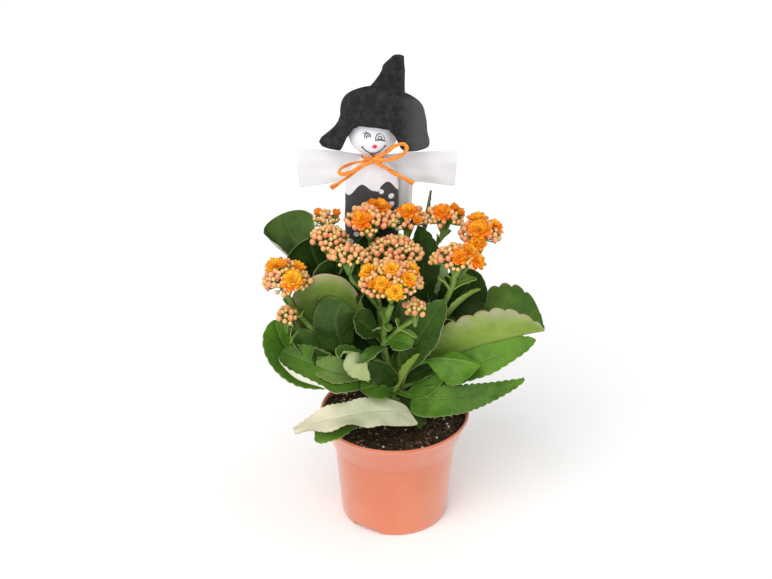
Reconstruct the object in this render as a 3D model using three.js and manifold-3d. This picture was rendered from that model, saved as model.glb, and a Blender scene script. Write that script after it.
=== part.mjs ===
// A double-flowered kalanchoe in a 12 cm nursery pot, with a cloth witch doll on a stick.
// Millimetres, +Z up. The origin is the centre of the pot's base, and the front is at -Y.
import * as THREE from "three";
import { mergeVertices } from "three/addons/utils/BufferGeometryUtils.js";
import Module from "manifold-3d";

const wasm = await Module();
wasm.setup();

// Touching pieces stay this far apart.
const gap = 0.3;
const goldenAngle = Math.PI * (3 - Math.sqrt(5));

const pot = {
  rimRadius: 60,
  height: 94,
  lipHeight: 2.6,
  lipOverhang: 0.9,
  bandFootRadius: 50.5,
  bandFootZ: 68.5,
  bodyTopRadius: 48.3,
  bodyTopZ: 66.5,
  baseRadius: 43,
  baseRound: 2,
  wall: 1.3,
  floor: 2,
  segments: 32,
  notches: 3,
  notchWidth: 24,
  notchHeight: 3.6,
  notchAngle: -123,
};
const soil = { topZ: 90.8, crown: 1.4, lump: 1.3, rings: 3, segments: 20 };

// Each stem is a curve through its points. They start in the soil and fork.
const stems = [
  { radius: 4, points: [[0, 0, 62], [0, 0, 95], [-2, -4, 123]] },
  { radius: 2.5, points: [[-2, -4, 118], [-6, -8, 142], [-9, -12, 164], [-7, -20, 188], [-3, -31, 208]] },
  { radius: 1.8, points: [[-9, -12, 162], [4, -24, 184], [14, -35, 198]] },
  { radius: 2.2, points: [[-1, -3, 116], [-30, -6, 138], [-58, -8, 166], [-75, -10, 190], [-83, -12, 206]] },
  { radius: 1.6, points: [[-62, -8, 171], [-74, -14, 176], [-82, -18, 180]] },
  { radius: 2.4, points: [[-2, -2, 116], [-8, 0, 150], [-12, 3, 185], [-17, 8, 225], [-19, 11, 248]] },
  { radius: 1.6, points: [[-12, 3, 188], [-30, 16, 212], [-48, 27, 230], [-53, 28, 240]] },
  { radius: 1.7, points: [[-13, 4, 196], [-30, 6, 216], [-45, 5, 227], [-50, 4, 237]] },
  { radius: 1.6, points: [[-12, 2, 186], [-24, -8, 206], [-35, -14, 220], [-38, -15, 228]] },
  { radius: 1.7, points: [[-15, 5, 206], [-9, 0, 217], [-5, -4, 229]] },
  { radius: 2.3, points: [[1, -2, 116], [7, 5, 160], [9, 12, 205], [9, 14, 247]] },
  { radius: 1.7, points: [[9, 11, 198], [23, 16, 222], [35, 18, 238], [39, 18, 248]] },
  { radius: 2.3, points: [[2, -4, 116], [20, -5, 153], [34, -8, 188], [43, -12, 212], [46, -14, 228]] },
  { radius: 1.8, points: [[33, -8, 186], [45, -3, 210], [59, 1, 230], [64, 2, 242]] },
  { radius: 1.7, points: [[0, 0, 98], [9, -12, 103], [16, -24, 105]] },
];
const stemSides = 5;
const stemStep = 30;

// A leaf's midrib is the arc through base, middle and tip, and face is the way its upper side looks.
// fold and curl, left then right seen from the base, bend each half up from flat in degrees.
// Pairs of other values are for the left and the right half too.
const leaves = [
  { name: "leaf_tall_left", base: [-53, 0, 180], middle: [-75, 20, 227], tip: [-88, 32, 254],
    width: 46, face: [0.15, -1, 0.4], fold: [8, 12], curl: [30, 20], widest: 2.2, fullness: 0.5,
    reach: [0.74, 1] },
  { name: "leaf_dark_left", base: [-9, 1, 150], middle: [-52, 11, 205], tip: [-66, 15, 242],
    width: 58, face: [0.3, -1, 0.45], fold: [10, 10], curl: [20, 20], widest: 1.8, fullness: 0.55 },
  { name: "leaf_arched", base: [-9, -12, 164], middle: [-45, -14, 207], tip: [-66, -3, 163],
    width: 28, face: [-0.2, 1, 0.1], fold: [4, 4], curl: [20, 20], widest: [1.5, 1.25], fullness: 0.5,
    reach: [1.35, 0.5] },
  { name: "leaf_front_round", base: [-30, -6, 139], middle: [-45, -28, 185], tip: [-39, -34, 214],
    width: 36, face: [0.1, -1, 0.5], fold: [-10, -10], curl: [-15, -15], stalk: 0.05, fullness: 0.5 },
  { name: "leaf_node_left", base: [-9, -12, 164], middle: [-22, -26, 187], tip: [-32, -34, 198],
    width: 24, face: [0.3, -0.8, 0.7], fold: [8, 8], curl: [10, 10] },
  { name: "leaf_node_right", base: [-9, -12, 163], middle: [3, -24, 172], tip: [13, -32, 172],
    width: 20, face: [0.2, -0.8, 0.7], fold: [12, 12], curl: [20, 20] },
  { name: "leaf_left_outer", base: [-2, -4, 119], middle: [-70, -14, 146], tip: [-93, -8, 182],
    width: 44, face: [0.8, -0.6, 1], fold: [0, 18], curl: [0, 50], reach: [1.15, 1] },
  { name: "leaf_left_inner", base: [-16, -8, 128], middle: [-60, -18, 154], tip: [-79, -18, 182],
    width: 26, face: [0.8, -0.8, 1], fold: [14, 14], curl: [20, 20] },
  { name: "leaf_left_low", base: [-2, -4, 112], middle: [-52, -30, 146], tip: [-88, -26, 164],
    width: 26, face: [0, -0.8, 1], fold: [8, 8], curl: [10, 10], reach: [1.41, 1] },
  { name: "leaf_centre_low", base: [-5, -9, 131], middle: [-42, -28, 146], tip: [-64, -32, 155],
    width: 24, face: [0, -0.8, 1], fold: [20, 20], curl: [10, 20] },
  { name: "leaf_centre_bent", base: [-5, -7, 134], middle: [-30, -30, 157], tip: [-20, -42, 148],
    width: 20, face: [0, 0.87, -0.4], fold: [10, 10], curl: [20, 20] },
  { name: "leaf_centre_curled", base: [-6, -8, 140], middle: [-35, -22, 161], tip: [-43, -34, 163],
    width: 13, face: [0, -0.4, 1], fold: [20, 20], curl: [60, 60] },
  { name: "leaf_over_rim", base: [12, -28, 109], middle: [-31, -46, 120], tip: [-78, -61, 114.5],
    width: 35, face: [-0.2, 0.1, -0.9], fold: [-6, -6], curl: [-10, -10], stalk: 0, widest: 0.7,
    fullness: 0.45, reach: [0.8, 1], tipHalfWidth: 3 },
  { name: "leaf_over_rim_under", base: [0, 0, 98], middle: [-43, -47, 108], tip: [-62, -60, 106],
    width: 20, face: [0, -0.5, 1], fold: [5, 5], curl: [5, 5] },
  { name: "leaf_right_boat", base: [2, -4, 126], middle: [65, -6, 157], tip: [117, -3, 169],
    width: 80, face: [0, 0.1, 1], fold: [28, 60], curl: [12, 12], stalk: 0.08, widest: [1.7, 1.05],
    fullness: [0.45, 0.7], reach: [1.25, 1], tipHalfWidth: [11, 4], notch: 3 },
  { name: "leaf_right_under", base: [2, -4, 119], middle: [60, -12, 143], tip: [110, -6, 163],
    width: 27, face: [0, -0.9, 1], fold: [10, 6], curl: [10, 10], widest: 0.8 },
  { name: "leaf_right_glossy", base: [3, -5, 129], middle: [30, -19, 153], tip: [66, -24, 150],
    width: 28, face: [0.1, -0.9, 1], fold: [-10, -10], curl: [-20, -20], stalk: 0.4, reach: [0.5, 1.5] },
  { name: "leaf_right_rim", base: [-1, -3, 114], middle: [43, -28, 123], tip: [101, -24, 138],
    width: 26, face: [-0.1, -1, 0.8], fold: [8, 8], curl: [10, 10], stalk: 0.2, widest: [0.6, 0.42],
    fullness: [0.62, 0.5], reach: [0.8, 1.25] },
  { name: "leaf_centre_edge", base: [0, -8, 116], middle: [9, -16, 139], tip: [19, -24, 161],
    width: 10, face: [-0.6, 0.8, 0.2], fold: [10, 10], curl: [30, 30], stalk: 0, fullness: 0.3 },
  { name: "leaf_dark_upright", base: [5, -9, 122], middle: [17, -18, 166], tip: [38, -20, 206],
    width: 32, face: [-0.5, -1, 0.3], fold: [10, 10], curl: [15, 15] },
  { name: "leaf_behind_right", base: [17, -5, 148], middle: [48, 8, 190], tip: [66, 12, 212],
    width: 40, face: [0.1, -1, 0.5], fold: [8, 8], curl: [10, 10] },
  { name: "leaf_narrow_right", base: [22, -10, 152], middle: [44, -8, 190], tip: [66, -6, 208],
    width: 14, face: [-0.4, 0.4, 1], fold: [25, 25], curl: [20, 20] },
  { name: "leaf_dark_middle", base: [8, 1, 160], middle: [21, 4, 212], tip: [17, 3, 258],
    width: 28, face: [0.3, -1, 0.3], fold: [10, 10], curl: [10, 10] },
  { name: "leaf_spire", base: [11, 14, 190], middle: [20, 24, 237], tip: [27, 24, 278],
    width: 10, face: [1, -0.3, 0.1], fold: [20, 20], curl: [10, 10] },
  { name: "leaf_base_left", base: [-6, -13, 114], middle: [-10, -22, 130], tip: [-27, -28, 130],
    width: 30, face: [0, -0.6, 1], fold: [8, 8], curl: [10, 10] },
  { name: "leaf_base_right", base: [0, -3, 108], middle: [12, -18, 110], tip: [20, -34, 98],
    width: 20, face: [0.5, -0.6, 1], fold: [8, 8], curl: [10, 10] },
  { name: "leaf_inner_left", base: [-14, 2, 150], middle: [-42, -1, 201], tip: [-43, -3, 235],
    width: 44, face: [0.3, -1, 0.3], fold: [8, 8], curl: [10, 10] },
  { name: "leaf_inner_centre", base: [-6, 8, 148], middle: [-14, 18, 200], tip: [-16, 21, 244],
    width: 48, face: [0, -1, 0.3], fold: [8, 8], curl: [10, 10] },
  { name: "leaf_inner_low", base: [-3, 1, 120], middle: [-18, 16, 142], tip: [-26, 24, 170],
    width: 56, face: [0, -1, 0.4], fold: [8, 8], curl: [10, 10] },
  { name: "leaf_back_right", base: [2, 1, 120], middle: [36, 42, 150], tip: [62, 70, 150],
    width: 50, face: [0, 0, 1], fold: [20, 20], curl: [20, 20] },
  { name: "leaf_back_left", base: [-4, 1, 116], middle: [-50, 32, 140], tip: [-76, 56, 142],
    width: 42, face: [0, 0, 1], fold: [20, 20], curl: [20, 20] },
  { name: "leaf_back_tall", base: [5, 4, 150], middle: [24, 40, 182], tip: [34, 60, 206],
    width: 44, face: [0, 1, 0.5], fold: [10, 10], curl: [15, 15] },
  { name: "leaf_back_low", base: [0, 3, 108], middle: [4, 44, 122], tip: [0, 80, 106],
    width: 44, face: [0, 0.1, 1], fold: [6, 6], curl: [10, 10] },
  { name: "leaf_side_low", base: [1, 0, 110], middle: [48, 26, 122], tip: [84, 40, 118],
    width: 40, face: [0, 0, 1], fold: [12, 12], curl: [12, 12] },
  { name: "leaf_back_upright", base: [-5, 5, 140], middle: [-40, 32, 174], tip: [-64, 42, 200],
    width: 36, face: [0.2, 1, 0.6], fold: [10, 10], curl: [15, 15] },
  { name: "leaf_back_middle", base: [-1, 3, 130], middle: [5, 48, 158], tip: [4, 76, 156],
    width: 40, face: [0, 0.2, 1], fold: [12, 12], curl: [12, 12] },
  { name: "leaf_back_slanted", base: [4, 3, 138], middle: [40, 32, 170], tip: [58, 48, 190],
    width: 38, face: [-0.2, 1, 0.6], fold: [10, 10], curl: [15, 15] },
];
const blade = {
  rows: [8, 11],
  stalk: 0.16,
  stalkHalfWidth: 2.2,
  tipHalfWidth: 1.4,
  fullness: 0.62,
  widest: 1.25,
  reach: 1,
  endCrowding: 0.14,
  scallopFrom: 0.3,
  notch: 1.5,
  ribThickness: 2.6,
  tipThickness: 1,
  edgeThickness: 0.8,
};
// Leaves narrower than the first width get fewer rows, and wider than the second more columns.
const leafSizes = [26, 60];

// at is the crown of a head's bud dome, radius its reach along X and Y.
// A bloom's place from the dome's middle is followed by its radius.
const heads = [
  { name: "head_back_left", at: [-53, 28, 258], radius: [10, 8], drop: 7, buds: 9, blooms: [] },
  { name: "head_left", at: [-51, 4, 256], radius: [15, 12], drop: 9, buds: 13, blooms: [] },
  { name: "head_left_low", at: [-35, -14, 250], radius: [15.5, 11], drop: 9, buds: 12, blooms: [] },
  { name: "head_top", at: [-19, 8, 273], radius: [19.5, 16], drop: 14, buds: 14, blooms: [[-6, -10, 7.8], [8, 4, 7.6]] },
  { name: "head_top_right", at: [10, 14, 268], radius: [15, 12], drop: 9, buds: 11, blooms: [[0, -4, 7.2]] },
  { name: "head_middle", at: [-1, -5, 252], radius: [22, 15], drop: 13, buds: 17, blooms: [] },
  { name: "head_front", at: [-3, -31, 244], radius: [24, 20], drop: 17, buds: 21,
    blooms: [[-17, 3, 7.7], [-7, -14, 6.6], [3, -18, 7], [0, -6, 5.6], [15, 5, 6], [13, -9, 6]] },
  { name: "head_far_left", at: [-83, -12, 234], radius: [18, 16], drop: 15, buds: 14,
    blooms: [[5, -11, 8.2], [-9, 4, 7], [9, 2, 5.2]] },
  { name: "head_far_left_low", at: [-83, -18, 199], radius: [8, 7.5], drop: 8, buds: 8, blooms: [] },
  { name: "head_right", at: [37.5, 18, 267], radius: [16, 11], drop: 9, buds: 11, blooms: [[-2, -5, 6.2]] },
  { name: "head_far_right", at: [65, 5, 262], radius: [15.5, 14], drop: 12, buds: 12,
    blooms: [[-1, -8, 8], [-2, 6, 7.2], [11, 4, 6.6], [-3, -14, 6]] },
  { name: "head_right_low", at: [46, -14, 250], radius: [19, 14], drop: 11, buds: 14,
    blooms: [[2, -9, 6.4], [10, -2, 6.4], [16, -6, 6.4]] },
  { name: "head_small", at: [15, -36, 215], radius: [7.5, 6.5], drop: 6, buds: 8, blooms: [] },
];
const bud = { radius: [2, 2.6], sides: 5, rootShare: 0.45, coreShare: 0.58, hubDepth: 13 };
const bloomPetals = 5;

const doll = {
  x: -17,
  y: 33,
  stick: { radius: 1.6, bottomZ: 46, topZ: 316 },
  head: { z: 324, radii: [19, 15.6, 20] },
  hat: {
    x: -9.5, y: 36, radii: [32, 24], count: 16, flap: 17, crownZ: 352.5, crownRise: 13,
    edge: [[0, 310], [155, 312.5], [205, 312.5], [216, 313], [222, 324], [230, 333], [238, 336], [262, 336],
      [278, 334], [287, 328], [295, 318], [301, 314.5], [330, 312.5], [360, 310]],
    peak: [[-6.5, 36, 353, 14, 12], [-3, 36.5, 367, 9, 8], [2, 37, 384, 3.8, 3.4]],
  },
  body: { bottomZ: 227, neckZ: 306 },
  sleeves: { frontY: 41.5, thickness: 2.4 },
};

const colours = {
  pot: 0xec8b6b,
  soil: 0x3a2a20,
  stem: 0x6f9a3c,
  leaf: 0x3c6d2a,
  bud: 0xf0a283,
  bloom: 0xf47a1c,
  cloth: 0xf1f1f4,
  hat: 0x3b3c3f,
  raffia: 0xf28a22,
  wood: 0xc9a878,
};

// A repeatable draw between 0 and 1 for each pair of whole numbers.
function draw(a, b) {
  const value = Math.sin(a * 127.1 + b * 311.7 + 17.3) * 43758.5453;
  return value - Math.floor(value);
}

function mix(a, b, t) {
  return a + (b - a) * t;
}

function vector(p) {
  return new THREE.Vector3(p[0], p[1], p[2]);
}

function solidOf(geometry) {
  const bare = new THREE.BufferGeometry();
  bare.setAttribute("position", geometry.getAttribute("position").clone());
  if (geometry.index) bare.setIndex(geometry.index.clone());
  const merged = mergeVertices(bare, 1e-4);
  const corners = merged.index.array;
  const kept = [];
  for (let i = 0; i < corners.length; i += 3) {
    const [a, b, c] = corners.slice(i, i + 3);
    if (a !== b && b !== c && a !== c) kept.push(a, b, c);
  }
  return new wasm.Manifold(
    new wasm.Mesh({
      numProp: 3,
      vertProperties: new Float32Array(merged.getAttribute("position").array),
      triVerts: new Uint32Array(kept),
    }),
  );
}

function geometryOf(solid) {
  const mesh = solid.getMesh();
  const geometry = new THREE.BufferGeometry();
  geometry.setAttribute("position", new THREE.BufferAttribute(mesh.vertProperties, 3));
  geometry.setIndex(new THREE.BufferAttribute(mesh.triVerts, 1));
  geometry.computeVertexNormals();
  return geometry;
}

function joined(solids) {
  return solids.reduce((sum, solid) => sum.add(solid));
}

function largestBody(solid) {
  return solid.decompose().reduce((best, body) => (body.volume() > best.volume() ? body : best));
}

// Rings of equal counts, skinned from the first to the last, with a flat cap on each end.
// Each ring runs anticlockwise seen from the last ring.
function skin(rings) {
  const count = rings[0].length;
  const points = rings.flat();
  const faces = [];
  for (let i = 0; i + 1 < rings.length; i++) {
    for (let j = 0; j < count; j++) {
      const k = (j + 1) % count;
      const [a, b, c, d] = [i * count + j, i * count + k, (i + 1) * count + k, (i + 1) * count + j];
      faces.push(a, b, c, a, c, d);
    }
  }
  const first = points.length;
  points.push(centreOf(rings[0]), centreOf(rings.at(-1)));
  const last = (rings.length - 1) * count;
  for (let j = 0; j < count; j++) {
    const k = (j + 1) % count;
    faces.push(first, k, j, first + 1, last + j, last + k);
  }
  return meshOf(points, faces);
}

function centreOf(ring) {
  const sum = ring.reduce((total, p) => total.add(p), new THREE.Vector3());
  return sum.divideScalar(ring.length);
}

function meshOf(points, faces) {
  const geometry = new THREE.BufferGeometry().setFromPoints(points);
  geometry.setIndex(faces);
  return geometry;
}

function lathe(profile, segments) {
  const points = profile.map(([r, z]) => new THREE.Vector2(r, z));
  return new THREE.LatheGeometry(points, segments).rotateX(Math.PI / 2);
}

function tube(points, radius, sides, step) {
  const curve = new THREE.CatmullRomCurve3(points.map(vector));
  const section = new THREE.Shape();
  for (let i = 0; i < sides; i++) {
    const angle = (2 * Math.PI * i) / sides;
    const [x, y] = [radius * Math.cos(angle), radius * Math.sin(angle)];
    if (i === 0) section.moveTo(x, y);
    else section.lineTo(x, y);
  }
  section.closePath();
  return new THREE.ExtrudeGeometry(section, {
    steps: Math.max(2, Math.round(curve.getLength() / step)),
    extrudePath: curve,
  });
}

// What stands first keeps its shape, and what comes later is cut clear of it.
const object = new THREE.Group();
const standing = [];

function boxesMeet(a, b) {
  const [p, q] = [a.boundingBox(), b.boundingBox()];
  return [0, 1, 2].every((i) => p.min[i] < q.max[i] && q.min[i] < p.max[i]);
}

function place(name, solid, grown, look) {
  let shape = solid;
  for (const other of standing) {
    if (boxesMeet(other, shape)) shape = shape.subtract(other);
  }
  standing.push(grown);
  const material = new THREE.MeshStandardMaterial(look);
  const mesh = new THREE.Mesh(geometryOf(largestBody(shape)), material);
  mesh.name = name;
  object.add(mesh);
}

function potWallRadius(z) {
  return z < pot.bodyTopZ
    ? mix(pot.baseRadius, pot.bodyTopRadius, z / pot.bodyTopZ)
    : mix(pot.bandFootRadius, pot.rimRadius - pot.lipOverhang, (z - pot.bandFootZ) / (pot.height - pot.bandFootZ));
}

function makePot() {
  const { rimRadius, height, wall } = pot;
  const outside = [
    [0, 0],
    [pot.baseRadius - pot.baseRound, 0],
    [pot.baseRadius - 0.4 * pot.baseRound, 0.4],
    [pot.baseRadius + 0.1, pot.baseRound],
    [pot.bodyTopRadius, pot.bodyTopZ],
    [pot.bandFootRadius, pot.bandFootZ],
    [rimRadius - pot.lipOverhang, height - pot.lipHeight],
    [rimRadius, height - pot.lipHeight + 0.5],
    [rimRadius, height],
  ];
  const inside = [
    [rimRadius - pot.lipOverhang - wall, height],
    [pot.bandFootRadius - wall, pot.bandFootZ + 0.6],
    [pot.bodyTopRadius - wall, pot.bodyTopZ - 1],
    [pot.baseRadius - wall, pot.floor],
    [0, pot.floor],
  ];
  let shape = solidOf(lathe([...outside, ...inside], pot.segments));
  for (let i = 0; i < pot.notches; i++) {
    const turn = THREE.MathUtils.degToRad(pot.notchAngle + (360 * i) / pot.notches);
    const notch = new THREE.BoxGeometry(9, pot.notchWidth, 2 * pot.notchHeight);
    notch.translate(pot.baseRadius - 1, 0, 0).rotateZ(turn);
    shape = shape.subtract(solidOf(notch));
  }
  place("pot", shape, shape, { color: colours.pot, roughness: 0.42, metalness: 0 });
}

function stemSolids(extra) {
  return stems.map((s) => solidOf(tube(s.points, s.radius + extra, stemSides, stemStep)));
}

// The doll's stick is a plain round rod pushed into the soil.
function stickSolid(extra) {
  const { radius, bottomZ, topZ } = doll.stick;
  const length = topZ - bottomZ + 2 * extra;
  const rod = new THREE.CylinderGeometry(radius + extra, radius + extra, length, 10);
  return solidOf(rod.rotateX(Math.PI / 2).translate(doll.x, doll.y, (topZ + bottomZ) / 2));
}

function makeSoil() {
  const profile = [[0, pot.floor + gap], [pot.baseRadius - pot.wall - 1.6, pot.floor + gap]];
  for (const z of [pot.notchHeight + 2, pot.bodyTopZ - 2, pot.bandFootZ + 1.6, soil.topZ - 2]) {
    profile.push([potWallRadius(Math.min(z, pot.bodyTopZ)) - pot.wall - 0.9, z]);
  }
  profile.at(-2)[0] = pot.bandFootRadius - pot.wall - 0.9;
  profile.at(-1)[0] = potWallRadius(soil.topZ) - pot.wall - 1.2;
  const edge = profile.at(-1)[0];
  for (let i = 1; i <= soil.rings; i++) {
    const t = i / soil.rings;
    profile.push([edge * (1 - t), soil.topZ + soil.crown * Math.sin((t * Math.PI) / 2)]);
  }
  const geometry = lathe(profile, soil.segments);
  const positions = geometry.getAttribute("position");
  for (let i = 0; i < positions.count; i++) {
    const [x, y, z] = [positions.getX(i), positions.getY(i), positions.getZ(i)];
    if (z < soil.topZ - 1) continue;
    const lump = draw(Math.round(x * 2), Math.round(y * 2)) - 0.5;
    positions.setZ(i, z + 2 * soil.lump * lump);
  }
  const shape = solidOf(geometry);
  place("soil", shape, shape, { color: colours.soil, roughness: 0.95, metalness: 0 });
}

// The point on a leaf's arc at u, from 0 at the base to 1 at the tip, and its frame there.
function midrib(leaf, u) {
  const [base, middle, tip] = [leaf.base, leaf.middle, leaf.tip].map(vector);
  const pull = middle.clone().multiplyScalar(2).sub(base.clone().add(tip).multiplyScalar(0.5));
  const curve = new THREE.QuadraticBezierCurve3(base, pull, tip);
  const along = curve.getTangent(u);
  const side = along.clone().cross(vector(leaf.face)).normalize();
  return { at: curve.getPoint(u), along, side, up: side.clone().cross(along) };
}

// Some values are given for the left and the right half of a blade, seen from its base.
function sided(leaf, key, k) {
  const value = leaf[key] ?? blade[key];
  return Array.isArray(value) ? value[k] : value;
}

function leafHalfWidth(leaf, u, k) {
  const stalk = sided(leaf, "stalk", k);
  const v = Math.max(0, (u - stalk) / (1 - stalk));
  const bulge = Math.max(0, Math.sin(Math.PI * Math.pow(v, sided(leaf, "widest", k))));
  const reach = (leaf.width / 2) * Math.pow(bulge, sided(leaf, "fullness", k)) * sided(leaf, "reach", k);
  return Math.max(reach, mix(blade.stalkHalfWidth, sided(leaf, "tipHalfWidth", k), v));
}

// How far across and how far up a point lies, s of the way to the margin.
function crossBend(s, fold, curl) {
  const start = THREE.MathUtils.degToRad(fold);
  const turn = THREE.MathUtils.degToRad(curl) + 1e-6;
  const end = start + turn * s;
  return [(Math.sin(end) - Math.sin(start)) / turn, (Math.cos(start) - Math.cos(end)) / turn, end];
}

function leafGeometry(leaf, extra) {
  const half = leaf.width > leafSizes[1] ? [0.55, 1] : [1];
  const rows = blade.rows[leaf.width < leafSizes[0] ? 0 : 1];
  const across = [...half.map((s) => -s).reverse(), 0, ...half];
  const columns = across.length;
  const top = [];
  const bottom = [];
  for (let i = 0; i <= rows; i++) {
    const t = i / rows;
    const u = t + blade.endCrowding * Math.sin(Math.PI * t);
    const frame = midrib(leaf, u);
    const notched = u > blade.scallopFrom && i < rows && i % 2 === 0;
    const change = extra - (notched ? sided(leaf, "notch", 0) : 0);
    const reach = i === rows ? extra : 0;
    for (const s of across) {
      const k = s < 0 ? 0 : 1;
      const width = leafHalfWidth(leaf, u, k) + change;
      const [out, lift, angle] = crossBend(Math.abs(s), leaf.fold[k], leaf.curl[k]);
      const sign = Math.sign(s);
      const centre = frame.at.clone().addScaledVector(frame.side, sign * out * width);
      centre.addScaledVector(frame.up, lift * width).addScaledVector(frame.along, reach);
      const rib = mix(blade.ribThickness, blade.tipThickness, u);
      const thickness = mix(rib, blade.edgeThickness, Math.abs(s)) + 2 * extra;
      const normal = frame.up.clone().multiplyScalar(s === 0 ? 1 : Math.cos(angle));
      normal.addScaledVector(frame.side, s === 0 ? 0 : -sign * Math.sin(angle));
      top.push(centre.clone().addScaledVector(normal, thickness / 2));
      bottom.push(centre.clone().addScaledVector(normal, -thickness / 2));
    }
  }
  return meshOf([...top, ...bottom], bladeFaces(rows, columns));
}

// Both faces of a blade are split along the same diagonals, which lean alike off the midrib.
function bladeFaces(rows, columns) {
  const under = (rows + 1) * columns;
  const faces = [];
  for (let i = 0; i < rows; i++) {
    for (let j = 0; j + 1 < columns; j++) {
      const [a, b] = [i * columns + j, i * columns + j + 1];
      const [c, d] = [a + columns, b + columns];
      const halves = j < (columns - 1) / 2 ? [[a, b, d], [a, d, c]] : [[a, b, c], [b, d, c]];
      for (const [p, q, r] of halves) faces.push(p, q, r, under + p, under + r, under + q);
    }
    const [left, right] = [i * columns, i * columns + columns - 1];
    faces.push(left, left + columns, under + left, under + left, left + columns, under + left + columns);
    faces.push(right, under + right, right + columns, under + right, under + right + columns, right + columns);
  }
  const end = rows * columns;
  for (let j = 0; j + 1 < columns; j++) {
    faces.push(j, under + j, j + 1, under + j, under + j + 1, j + 1);
    faces.push(end + j, end + j + 1, under + end + j, under + end + j, end + j + 1, under + end + j + 1);
  }
  return faces;
}

function makeLeaves() {
  for (const leaf of leaves) {
    const look = { color: colours.leaf, roughness: 0.4, metalness: 0, flatShading: true };
    place(leaf.name, solidOf(leafGeometry(leaf, 0)), solidOf(leafGeometry(leaf, gap)), look);
  }
}

// A closed form round an axis: each level has a height and the radii of petal tip and notch.
function rosette(centre, axis, levels, petals) {
  const turn = new THREE.Quaternion().setFromUnitVectors(new THREE.Vector3(0, 0, 1), axis);
  const rings = levels.map(([z, tipRadius, notchRadius, shift]) => {
    const ring = [];
    for (let j = 0; j < 2 * petals; j++) {
      const angle = (Math.PI * (j + shift)) / petals;
      const radius = j % 2 === 0 ? tipRadius : notchRadius;
      const p = new THREE.Vector3(radius * Math.cos(angle), radius * Math.sin(angle), z);
      ring.push(p.applyQuaternion(turn).add(centre));
    }
    return ring;
  });
  return skin(rings);
}

// Each level of a bloom is its height, the radii of its petal tips and notches, and its turn.
function bloomSolid(root, centre, r) {
  const axis = centre.clone().sub(root).normalize();
  const levels = [
    [-centre.distanceTo(root), 0, 0, 0],
    [1.2, r, 0.72 * r, 0],
    [1.6, 0.48 * r, 0.55 * r, 0],
    [3.4, 0.68 * r, 0.44 * r, 1],
    [2.8, 0.34 * r, 0.32 * r, 1],
    [4.4, 0.3 * r, 0.16 * r, 2],
  ];
  return solidOf(rosette(centre, axis, levels, bloomPetals));
}

// A bud is a blunt spindle that tapers down into its stalk.
function budSolid(root, centre, radius) {
  const axis = centre.clone().sub(root).normalize();
  const levels = [
    [-centre.distanceTo(root), 0, 0, 0],
    [-0.35 * radius, radius, radius, 0],
    [0.75 * radius, 0.72 * radius, 0.72 * radius, 0],
    [1.1 * radius, 0, 0, 0],
  ];
  return solidOf(rosette(centre, axis, levels, bud.sides / 2));
}

// The point that a head's stalks spread from.
function hubOf(head) {
  return vector(head.at).sub(new THREE.Vector3(0, 0, head.drop + bud.hubDepth));
}

// A place on a head's dome, and the root of a bud or bloom there.
function onDome(head, dx, dy) {
  const off = (dx / head.radius[0]) ** 2 + (dy / head.radius[1]) ** 2;
  const at = vector(head.at).add(new THREE.Vector3(dx, dy, -head.drop * off));
  return { at, root: hubOf(head).lerp(at, bud.rootShare) };
}

// The core is the head's crowd of short stalks, which narrows down to its hub.
function coreSolid(head) {
  const [rx, ry] = head.radius;
  const levels = [[-6, 2.4, 2.4, 0]];
  for (const share of [1, 0.65, 0.25]) {
    const rise = bud.hubDepth + head.drop * (1 - share * share);
    levels.push([bud.coreShare * rise, bud.coreShare * share * rx, bud.coreShare * share * rx, 0]);
  }
  const core = rosette(new THREE.Vector3(), new THREE.Vector3(0, 0, 1), levels, 3);
  return solidOf(core.scale(1, ry / rx, 1).translate(...hubOf(head).toArray()));
}

function makeHeads() {
  const taken = heads.flatMap((head) =>
    head.blooms.map(([dx, dy, radius]) => ({ at: onDome(head, dx, dy).at, radius: radius - 1.5 })),
  );
  heads.forEach((head, index) => {
    const pieces = [coreSolid(head)];
    for (const [dx, dy, radius] of head.blooms) {
      const { root, at } = onDome(head, dx, dy);
      pieces.push(bloomSolid(root, at, radius));
    }
    for (let i = 0; i < head.buds; i++) {
      const reach = Math.sqrt((i + 0.5) / head.buds);
      const angle = i * goldenAngle + index;
      const [dx, dy] = [head.radius[0] * reach * Math.cos(angle), head.radius[1] * reach * Math.sin(angle)];
      const spot = onDome(head, dx, dy);
      const radius = mix(bud.radius[1], bud.radius[0], draw(i, index));
      if (taken.some((other) => other.at.distanceTo(spot.at) < other.radius + radius)) continue;
      taken.push({ at: spot.at, radius });
      pieces.push(budSolid(spot.root, spot.at, radius));
    }
    const shape = joined(pieces);
    const look = { color: head.blooms.length ? colours.bloom : colours.bud, roughness: 0.5, metalness: 0 };
    place(head.name, shape, shape, { ...look, flatShading: true });
  });
}

function makeStems() {
  const look = { color: colours.stem, roughness: 0.5, metalness: 0 };
  place("stems", joined(stemSolids(0)), joined(stemSolids(gap)), look);
}

function ovalRing(cx, cy, z, rx, ry, count) {
  const ring = [];
  for (let j = 0; j < count; j++) {
    const angle = (2 * Math.PI * j) / count;
    ring.push(new THREE.Vector3(cx + rx * Math.cos(angle), cy + ry * Math.sin(angle), z));
  }
  return ring;
}

function dollHeadSolid(extra) {
  const ball = new THREE.SphereGeometry(1, 12, 8).rotateX(Math.PI / 2);
  const [rx, ry, rz] = doll.head.radii;
  ball.scale(rx + extra, ry + extra, rz + extra).translate(doll.x, doll.y, doll.head.z);
  return solidOf(ball);
}

function dollBodySolid(extra) {
  const { bottomZ, neckZ } = doll.body;
  const sizes = [[bottomZ, 18, 6], [bottomZ + 3, 21, 8], [282, 21, 8], [294, 17, 8], [302, 9, 7], [neckZ, 6.5, 6]];
  return solidOf(skin(sizes.map(([z, rx, ry]) => ovalRing(doll.x - 1, doll.y, z, rx + extra, ry + extra, 16))));
}

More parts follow.
